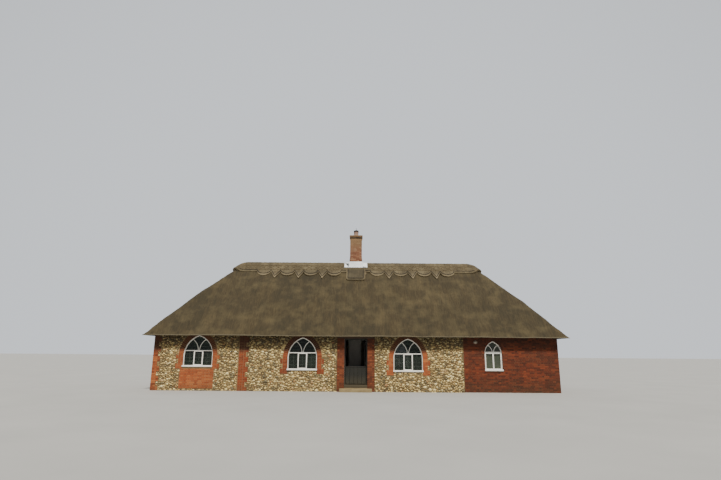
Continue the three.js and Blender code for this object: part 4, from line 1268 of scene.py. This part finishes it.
def thatch_slope(name, half_run, turn, shift, material, replaced):
    """One slope as a closed slab: a section swept along the eaves, then sawn at the hips and the ridge."""
    columns = int(2 * half_run / STRAW_COLUMN)
    along = np.linspace(-half_run, half_run, columns)
    steps = int(EAVES_DEPTH / STRAW_ROW)
    soffit = WALL_TOP + HAIR
    past_top = EAVES_DEPTH + HIP_LAP
    top_u = np.linspace(NOSE, past_top, steps)
    section = [
        (past_top, soffit + (past_top - BEARING) * PITCH), (BEARING, soffit),
        (EAVES_DEPTH - HALF_DEPTH, soffit), (TOE, (soffit + LIP) / 2 - TOE_DROP),
        (NOSE, LIP + NOSE_HIGH), (LIP_OUT, LIP + LIP_HIGH),
    ]
    u = np.array([point[0] for point in section] + list(top_u))[:, None]
    z = np.array([point[1] for point in section] + [0.0] * steps)[:, None]
    on_top = np.array([0.0] * len(section) + [1.0] * steps)[:, None]
    on_top[len(section) - 1] = LIP_SHARE
    rows = len(u)
    x = np.repeat(along[None, :], rows, axis=0)
    u = np.repeat(u, columns, axis=1)
    end = half_run - np.abs(x)
    cos, sin = math.cos(turn), math.sin(turn)
    plan_x, plan_y = x * cos - (u - EAVES_DEPTH) * sin, x * sin + (u - EAVES_DEPTH) * cos
    inward = np.maximum(u, end)
    height = slope_height(nearer(u, end, np.clip(inward, 0.02, HIP_SOFTNESS)))
    z = np.where(on_top > 0.9, height, z + 0 * x)
    slow = WANDER * drift(plan_x + shift, plan_y)
    large, small = (bundles(rows, columns, *cells) for cells in (LARGE_CELLS, SMALL_CELLS))
    quick = BUNDLE_DEEP * (large + SMALL_BUNDLE * small)
    settle = np.clip((EAVES_DEPTH - u) / SETTLE_TOP, 0, 1) * np.clip(inward / SETTLE_EDGE, 0, 1)
    lift = (slow + quick) * on_top * settle
    z = z + lift * UPWARD
    u = u - lift * OUTWARD
    corners = np.stack([x, u - EAVES_DEPTH, z], axis=2).reshape(-1, 3)
    faces = []
    for row in range(rows):
        first, second = row * columns, ((row + 1) % rows) * columns
        faces += [(first + c, first + c + 1, second + c + 1, second + c) for c in range(columns - 1)]
    faces.append([row * columns for row in range(rows)])
    faces.append([row * columns + columns - 1 for row in reversed(range(rows))])
    piece = drawn(name, corners, faces=faces)
    mesh = piece.data
    for finish_of_row in (material, lip_straw, soffit_straw):
        mesh.materials.append(finish_of_row)
    for face in mesh.polygons:
        row = face.index // (columns - 1)
        face.material_index = 1 if row in LIP_ROWS else 2 if row < LIP_ROWS[0] else 0
    bpy.ops.object.mode_set(mode="EDIT")
    hip = half_run + HIP_LAP
    for point, outside in (
        ((-hip, -EAVES_DEPTH, 0), (-1, 1, 0)), ((hip, -EAVES_DEPTH, 0), (1, 1, 0)), ((0, 0, 0), (0, 1, 0)),
    ):
        bpy.ops.mesh.select_all(action="SELECT")
        bpy.ops.mesh.bisect(plane_co=point, plane_no=outside, clear_outer=True, use_fill=True)
    bpy.ops.mesh.select_all(action="SELECT")
    bpy.ops.mesh.normals_make_consistent(inside=False)
    bpy.ops.object.mode_set(mode="OBJECT")
    if max(mesh.polygons, key=lambda face: face.center.z).normal.z < 0:
        mesh.flip_normals()
    mesh.transform(Matrix.Translation((shift, 0, 0)) @ Matrix.Rotation(turn, 4, "Z"))
    bpy.ops.object.shade_smooth_by_angle(angle=SMOOTH)
    piece.select_set(False)
    stand_for(piece, [replaced])


RIDGE_HALF = EAVES_LENGTH - EAVES_DEPTH
for place, half_run, turn, shift, straw in (
    ("front", EAVES_LENGTH, 0, 0, long_straw), ("back", EAVES_LENGTH, math.pi, 0, long_straw),
    ("left_hip", EAVES_DEPTH, -math.pi / 2, -RIDGE_HALF, hip_straw),
    ("right_hip", EAVES_DEPTH, math.pi / 2, RIDGE_HALF, hip_straw),
):
    thatch_slope("straw_" + place, half_run, turn, shift, straw, "thatch_" + place)

# The ridge is a second coat of straw laid astride the top and cut to a pattern along both lower edges: round
# scallops and points in turn, a plain panel in front of the chimney, and a round apron over each hip.
RIDGE_RAISE = 0.105
RIDGE_EDGE = 0.59
SCALLOP_HALF, SCALLOP_REACH = 0.37, 0.23
POINT_HALF, POINT_REACH = 0.262, 0.39
PATTERN = 1.27
FIRST_SCALLOP = 1.16
PATTERNS = 4
PANEL_HALF, PANEL_REACH = 0.5, 0.49
PANEL_CORNER = 0.13
PANEL_FADE_ASIDE, PANEL_FADE_DOWN = (0.1, 0.04), (0.35, 0.5)
TIP_FADE_START, TIP_FADE_ASIDE = 0.05, 0.02
RIDGE_COLUMN, END_GAP = 0.03, 0.002
RIDGE_ROWS = 26
ROLL_HIGH, ROLL_WIDE = 0.03, 0.16
END_SWELL, SWELL_START, SWELL_RUN = 0.1, 0.1, 0.4
EDGE_CHAMFER = 0.04
RIDGE_DEEP = 0.12
COMBED, COMB_CELLS = 0.008, (7, 1.6)
CUT_NUDGES = (-0.004, 0.004)
CORNER_NUDGES = (-0.06, -0.03, -0.012, -0.001, 0.001)
pot_low, pot_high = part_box("chimney_pot")
STACK_X = (pot_low.x + pot_high.x) / 2
STACK_HALF_X, STACK_HALF_Y = 0.32, 0.3


def pattern_reach(x):
    """How far the cut edge hangs below the plain edge at a place along the ridge."""
    out = abs(x - STACK_X)
    if out < PANEL_HALF:
        corner = max(0.0, out - (PANEL_HALF - PANEL_CORNER))
        return PANEL_REACH - PANEL_CORNER + math.sqrt(max(0.0, PANEL_CORNER ** 2 - corner ** 2))
    for number in range(PATTERNS):
        scallop = abs(out - FIRST_SCALLOP - number * PATTERN) / SCALLOP_HALF
        if scallop < 1:
            return SCALLOP_REACH * math.sqrt(1 - scallop * scallop)
        point = abs(out - FIRST_SCALLOP - (number + 0.5) * PATTERN) / POINT_HALF
        if point < 1 and number < PATTERNS - 1:
            return POINT_REACH * (1 - point)
    return 0.0


def ridge_edge(x):
    """Distance of the cut edge from the ridge line, which closes in a half circle past each end."""
    past = abs(x) - RIDGE_HALF
    if past > 0:
        return math.sqrt(max(1e-6, RIDGE_EDGE ** 2 - past * past))
    return RIDGE_EDGE + pattern_reach(x)


def ridge_height(x, y):
    """Height of the ridge straw: soft at the hips, fuller past each end, and rolled on top."""
    slope = slope_height(nearer(EAVES_DEPTH - np.abs(y), EAVES_LENGTH - np.abs(x), HIP_SOFTNESS))
    past = np.clip((np.abs(x) - RIDGE_HALF + SWELL_START) / SWELL_RUN, 0, 1)
    swell = END_SWELL * past * past * (3 - 2 * past)
    return slope + swell + RIDGE_RAISE - ROLL_HIGH + ROLL_HIGH * np.exp(-((y / ROLL_WIDE) ** 2))


ridge_x = []
x = -RIDGE_HALF - RIDGE_EDGE + END_GAP
while x < RIDGE_HALF + RIDGE_EDGE:
    ridge_x.append(x)
    x += RIDGE_COLUMN
for side in (-1, 1):
    for number in range(PATTERNS):
        middle = FIRST_SCALLOP + number * PATTERN
        point = middle + PATTERN / 2
        scallop_ends = (middle - SCALLOP_HALF, middle + SCALLOP_HALF)
        for place in (*scallop_ends, point - POINT_HALF, point, point + POINT_HALF):
            ridge_x += [STACK_X + side * place + nudge for nudge in CUT_NUDGES]
    ridge_x += [STACK_X + side * (PANEL_HALF + nudge) for nudge in CORNER_NUDGES]
ridge_x = np.array(sorted(ridge_x))
share = np.linspace(-1, 1, 2 * RIDGE_ROWS + 1)
edges = np.array([ridge_edge(value) for value in ridge_x])
grid_x = np.repeat(ridge_x[None, :], len(share), axis=0)
grid_y = share[:, None] * edges[None, :]
grid_z = ridge_height(grid_x, grid_y) + COMBED * bundles(len(share), len(ridge_x), *COMB_CELLS)
rows, columns = grid_x.shape
corners = np.stack([grid_x, grid_y, grid_z], axis=2).reshape(-1, 3)
faces = [
    (r * columns + c, r * columns + c + 1, (r + 1) * columns + c + 1, (r + 1) * columns + c)
    for r in range(rows - 1) for c in range(columns - 1)
]

ridge_straw = thatch_finish(
    "straw_of_the_ridge", "x",
    [(0.3, "362e1f"), (0.45, "554933"), (0.58, "6b5e43"), (0.72, "84785b")], "3c3625",
)
aside = sums(ridge_straw, "ABSOLUTE", sums(ridge_straw, "SUBTRACT", coordinate(ridge_straw, 0), STACK_X), 0)
down = sums(ridge_straw, "ABSOLUTE", coordinate(ridge_straw, 1), 0)
fade_start, fade_end = (PANEL_HALF - inset for inset in PANEL_FADE_ASIDE)
on_panel = sums(
    ridge_straw, "MULTIPLY", between(ridge_straw, aside, fade_start, fade_end, 0.6, 0.0),
    between(ridge_straw, down, *PANEL_FADE_DOWN, 0.0, 1.0),
)
overlay(ridge_straw, on_panel, "352f20")
on_tips = sums(
    ridge_straw, "MULTIPLY", sums(ridge_straw, "GREATER_THAN", aside, PANEL_HALF + TIP_FADE_ASIDE),
    between(ridge_straw, down, RIDGE_EDGE + TIP_FADE_START, RIDGE_EDGE + POINT_REACH, 0.0, 0.6),
)
overlay(ridge_straw, on_tips, "9c8d70")
cut_straw = cut_ends("cut_straw", 120, [(0.35, "544832"), (0.65, "867759")], 0.006)
ridge = drawn("straw_ridge", corners, faces=faces)
ridge.data.materials.append(ridge_straw)
ridge.data.materials.append(cut_straw)
worked(ridge, "SOLIDIFY", thickness=RIDGE_DEEP, offset=-1, material_offset_rim=1)
worked(
    ridge, "BEVEL", width=EDGE_CHAMFER, segments=2, material=1, limit_method="ANGLE",
    angle_limit=math.radians(60),
)
bpy.ops.object.shade_smooth_by_angle(angle=SMOOTH)
stand_for(ridge, ["thatch_ridge"])

# Split hazel rods hold the ridge down: two level rods on each side, crossed rods between them, and a rod that
# follows the cut edge. Each is pinned into the straw with twisted spars.
ROD_RADIUS, EDGE_ROD_RADIUS = 0.013, 0.02
ROD_SIDES = 5
ROD_SUNK = 0.8
LEVEL_RODS = (0.2, 0.47)
CROSS_SPACING = 0.42
EDGE_ROD_INSET = 0.1
FROM_STACK, FROM_PANEL = 0.34, 0.03
LEVEL_PAST_END, CROSS_PAST_END, EDGE_PAST_END = 0.2, 0.15, 0.1
LEVEL_STEP, EDGE_STEP = 0.16, 0.05
PANEL_ROD_INSET, PANEL_ROD_TOP = 0.09, 0.42


def hazel_finish(name, stops):
    """Split hazel with its bark half gone."""
    material, shader = finish(name, 0.8)
    tone = ramp(material, cloud(material, 12, detail=5), stops)
    wire(material, shader, tone, [(cloud(material, 60), 0.3, 0.002)])
    return material


def on_ridge(x, y):
    """The place of a rod that lies on the ridge straw."""
    return Vector((x, y, float(ridge_height(x, y)) + ROD_RADIUS * ROD_SUNK))


def laid(start, end, steps):
    """Places on the straw along a straight line in plan."""
    return [
        on_ridge(*(a + (b - a) * step / steps for a, b in zip(start, end))) for step in range(steps + 1)
    ]


def rod(points, radius):
    """A rod along a line of places on the straw, as a tube with closed ends."""
    corners, faces = [], []
    for index, place in enumerate(points):
        ahead = points[min(index + 1, len(points) - 1)] - points[max(index - 1, 0)]
        side = ahead.cross(UP).normalized()
        top = side.cross(ahead).normalized()
        for step in range(ROD_SIDES):
            angle = 2 * math.pi * step / ROD_SIDES
            corners.append(place + (side * math.cos(angle) + top * math.sin(angle)) * radius)
    for index in range(len(points) - 1):
        first = index * ROD_SIDES
        for step in range(ROD_SIDES):
            after = (step + 1) % ROD_SIDES
            faces.append((first + step, first + ROD_SIDES + step, first + ROD_SIDES + after, first + after))
    faces.append(list(range(ROD_SIDES)))
    faces.append([len(corners) - 1 - step for step in range(ROD_SIDES)])
    return corners, faces


lines = []
edge_lines = []
clear = STACK_HALF_X + FROM_STACK
crossings = int((RIDGE_HALF + CROSS_PAST_END - clear) / CROSS_SPACING)
panel_foot = RIDGE_EDGE + PANEL_REACH - EDGE_ROD_INSET
panel_side = PANEL_HALF - PANEL_ROD_INSET
panel = [
    (-panel_side, PANEL_ROD_TOP), (-panel_side, panel_foot), (panel_side, panel_foot),
    (panel_side, PANEL_ROD_TOP),
]
for side in (-1, 1):
    upper, lower = side * LEVEL_RODS[0], side * LEVEL_RODS[1]
    for away in (-1, 1):
        first, last = STACK_X + away * clear, away * (RIDGE_HALF + LEVEL_PAST_END)
        for level in (upper, lower):
            lines.append(laid((first, level), (last, level), int(abs(last - first) / LEVEL_STEP)))
        for number in range(crossings):
            near = first + away * number * CROSS_SPACING
            far = near + away * CROSS_SPACING
            lines += [laid((near, upper), (far, lower), 3), laid((far, upper), (near, lower), 3)]
        start, end = STACK_X + away * (PANEL_HALF + FROM_PANEL), away * (RIDGE_HALF + EDGE_PAST_END)
        edge_lines.append([
            on_ridge(place, side * (ridge_edge(place) - EDGE_ROD_INSET))
            for place in np.linspace(start, end, int(abs(end - start) / EDGE_STEP))
        ])
    for (x0, y0), (x1, y1) in zip(panel, panel[1:]):
        edge_lines.append(laid((STACK_X + x0, side * y0), (STACK_X + x1, side * y1), 5))
hazel = hazel_finish("split_hazel", [(0.3, "4d4029"), (0.55, "6a5b40"), (0.75, "867655")])
# Painted shade: the edge rods are dark, for the shadowed groove along the cut edge of the ridge.
hazel_painted_dark = hazel_finish("hazel_in_painted_shade", [(0.3, "1c160d"), (0.7, "30271a")])
for name, routes, radius, wood in (
    ("hazel_rods", lines, ROD_RADIUS, hazel), ("hazel_edge_rods", edge_lines, EDGE_ROD_RADIUS, hazel_painted_dark),
):
    corners, faces = [], []
    for line in routes:
        made_corners, made_faces = rod(line, radius)
        faces += [[index + len(corners) for index in face] for face in made_faces]
        corners += made_corners
    stand_for(assemble([drawn(name, corners, faces=faces)], name, wood, ease=0), [])

# Chimney stack of orange bricks that have weathered to buff at the top, with two oversailing courses and a
# mortar flaunching. The stack itself is the mortar, and its bricks are laid on its four faces.
STACK_TOP = 8.03
CAP_COURSE, CAP_STEP, CAP_BED = 0.08, 0.018, 0.004
CAP_SHADOW = 0.03
INDOORS = 5.0
STACK_SHOWS = 6.2
BUFF_FOOT, BUFF_HEAD = 7.2, 7.8
stack_mortar, stack_mortar_shader = finish("stack_mortar", 0.95)
stack_tone = ramp(stack_mortar, cloud(stack_mortar, 5, detail=6), [(0.3, "54452f"), (0.7, "7d6a49")])
indoors = sums(stack_mortar, "LESS_THAN", coordinate(stack_mortar, 2), INDOORS)
stack_tone = blend(stack_mortar, indoors, stack_tone, "e2e0d8")
wire(stack_mortar, stack_mortar_shader, stack_tone, [(cloud(stack_mortar, 60, detail=3), 0.5, 0.005)])
dress_node("chimney_stack", stack_mortar)
chimney_brick = brick_finish(
    "chimney_brick", [(0.0, "7c472f"), (0.35, "945d42"), (0.7, "a77254"), (1.0, "b58b6d")],
    dirt="5e4838", low_dirt="5e4838",
)
up_stack = coordinate(chimney_brick, 2)
overlay(chimney_brick, between(chimney_brick, up_stack, BUFF_FOOT, BUFF_HEAD, 0.0, 0.7), "8f7654")
# Painted shade: the lower cap course is dark, for the shadow under the oversail.
cap_clay_in_painted_shade = brick_finish(
    "cap_clay_in_painted_shade", [(0.0, "3f2d1e"), (0.35, "4d3a28"), (0.7, "5b4632"), (1.0, "6a533c")], "2f2418", "2f2418",
)

for name, normal, half_run, reach in (
    ("front", (0, -1, 0), STACK_HALF_X, STACK_HALF_Y), ("right", (1, 0, 0), STACK_HALF_Y, STACK_HALF_X),
    ("back", (0, 1, 0), STACK_HALF_X, STACK_HALF_Y), ("left", (-1, 0, 0), STACK_HALF_Y, STACK_HALF_X),
):
    out = Vector(normal)
    along = UP.cross(out)
    middle = Vector((STACK_X, 0, 0))
    face = (middle + out * reach, along, out)
    edge = half_run + BRICK_PROUD
    courses = flemish(-edge, edge, STACK_SHOWS, STACK_TOP - CAP_SHADOW)
    lay("stack_bricks_" + name, face, courses, chimney_brick)
    for course in (1, 2):
        edge = half_run + course * CAP_STEP + BRICK_PROUD
        z = STACK_TOP + (course - 1) * CAP_COURSE
        cap = (middle + out * (reach + course * CAP_STEP), along, out)
        courses = flemish(-edge, edge, z + CAP_BED, z + BRICK_TALL + 2 * CAP_BED)
        # The lower course carries the painted shade.
        clay = cap_clay_in_painted_shade if course == 1 else chimney_brick
        lay(f"cap_bricks_{name}_{course}", cap, courses, clay)

# Sheet lead dressed over the ridge and up the foot of the stack in a flare, with its edges turned down. The
# lead is darker on a tall cheek at each side of the stack.
sheet_lead, lead_shader = finish("sheet_lead", 0.5)
lead_shader.inputs["Metallic"].default_value = 0.05
bloom = cloud(sheet_lead, 4, detail=7, roughness=0.6)
lead_tone = ramp(sheet_lead, bloom, [(0.3, "d2d7da"), (0.5, "ecf0f2"), (0.75, "f8fafb")])
on_cheek = sums(sheet_lead, "GREATER_THAN", coordinate(sheet_lead, 2), APEX + RIDGE_RAISE + 0.03)
lead_tone = blend(sheet_lead, on_cheek, lead_tone, "55565a")
wire(sheet_lead, lead_shader, lead_tone, [(cloud(sheet_lead, 9, detail=4), 0.35, 0.02)])
lead_saddle = bpy.data.objects.new("lead_saddle", frame["nodes"]["chimney_flashing"].data.copy())
bpy.context.collection.objects.link(lead_saddle)
pick(lead_saddle)
edit_all()
bpy.ops.mesh.remove_doubles(threshold=WELD)
bpy.ops.mesh.dissolve_limited(angle_limit=math.radians(1))
bpy.ops.object.mode_set(mode="OBJECT")
lead_saddle = assemble([lead_saddle], "lead_saddle", sheet_lead, ease=0.006, angle=25)
stand_for(lead_saddle, ["chimney_flashing"])

# A plain clay pot stands in the flaunching, with a dark metal cowl on its rim: a drum, a low cone and a
# spike. Both are turned.
terracotta, terracotta_shader = finish("weathered_clay", 0.85)
soot = between(terracotta, cloud(terracotta, 7, (1, 1, 0.4), detail=6), 0.35, 0.7, 0.0, 0.5)
clay_tone = ramp(terracotta, cloud(terracotta, 14, detail=5), [(0.3, "8c6a58"), (0.7, "a98674")])
clay_tone = blend(terracotta, soot, clay_tone, "8f8579")
wire(terracotta, terracotta_shader, clay_tone, [(cloud(terracotta, 70, detail=4), 0.35, 0.003)])
POT_FOOT_TALL, POT_TAPER, POT_WAIST = 0.04, 0.012, 0.003
POT_LIP_TALL, POT_LIP_PROUD, POT_LIP_CURVE = 0.045, 0.005, 0.015
COWL_DRUM, COWL_CAP, COWL_EASE = 0.08, 0.04, 0.006
SPIKE = ((0.02, 0.0), (0.012, 0.01))
SPIKE_TIP = ((0.009, 0.03), (0.005, 0.002), (0, 0))
CHIMNEY_SIDES = 40

foot, rim, pot_radius = pot_low.z, pot_high.z, (pot_high.x - pot_low.x) / 2
neck = pot_radius - POT_TAPER
lip = neck - POT_WAIST + POT_LIP_PROUD
pot_profile = [
    (0, foot), (pot_radius, foot), (pot_radius, foot + POT_FOOT_TALL * 0.6), (neck, foot + POT_FOOT_TALL),
    (neck - POT_WAIST, rim - POT_LIP_TALL - POT_LIP_CURVE), (lip, rim - POT_LIP_TALL), (lip, rim), (0, rim),
]
cowl_low, cowl_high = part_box("chimney_cowl")
drum_foot, drum_top, drum = cowl_low.z, cowl_low.z + COWL_DRUM, (cowl_high.x - cowl_low.x) / 2
cowl_profile = [
    (0, drum_foot), (drum - COWL_EASE, drum_foot), (drum, drum_foot + COWL_EASE),
    (drum, drum_top - COWL_EASE), (drum - COWL_EASE, drum_top), (drum * 0.5, drum_top + COWL_CAP * 0.5),
]
cowl_profile += [(radius, drum_top + COWL_CAP + above) for radius, above in SPIKE]
cowl_profile += [(radius, cowl_high.z - below) for radius, below in SPIKE_TIP]
for name, profile, material, replaced, slot in (
    ("clay_pot", pot_profile, terracotta, "chimney_pot", "terracotta"),
    ("metal_cowl", cowl_profile, wrought_iron, "chimney_cowl", "dark_iron"),
):
    made = turned(name, profile, Vector((STACK_X, 0, 0)), UP, CHIMNEY_SIDES)
    stand_for(assemble([made], name, material, ease=0), [replaced])
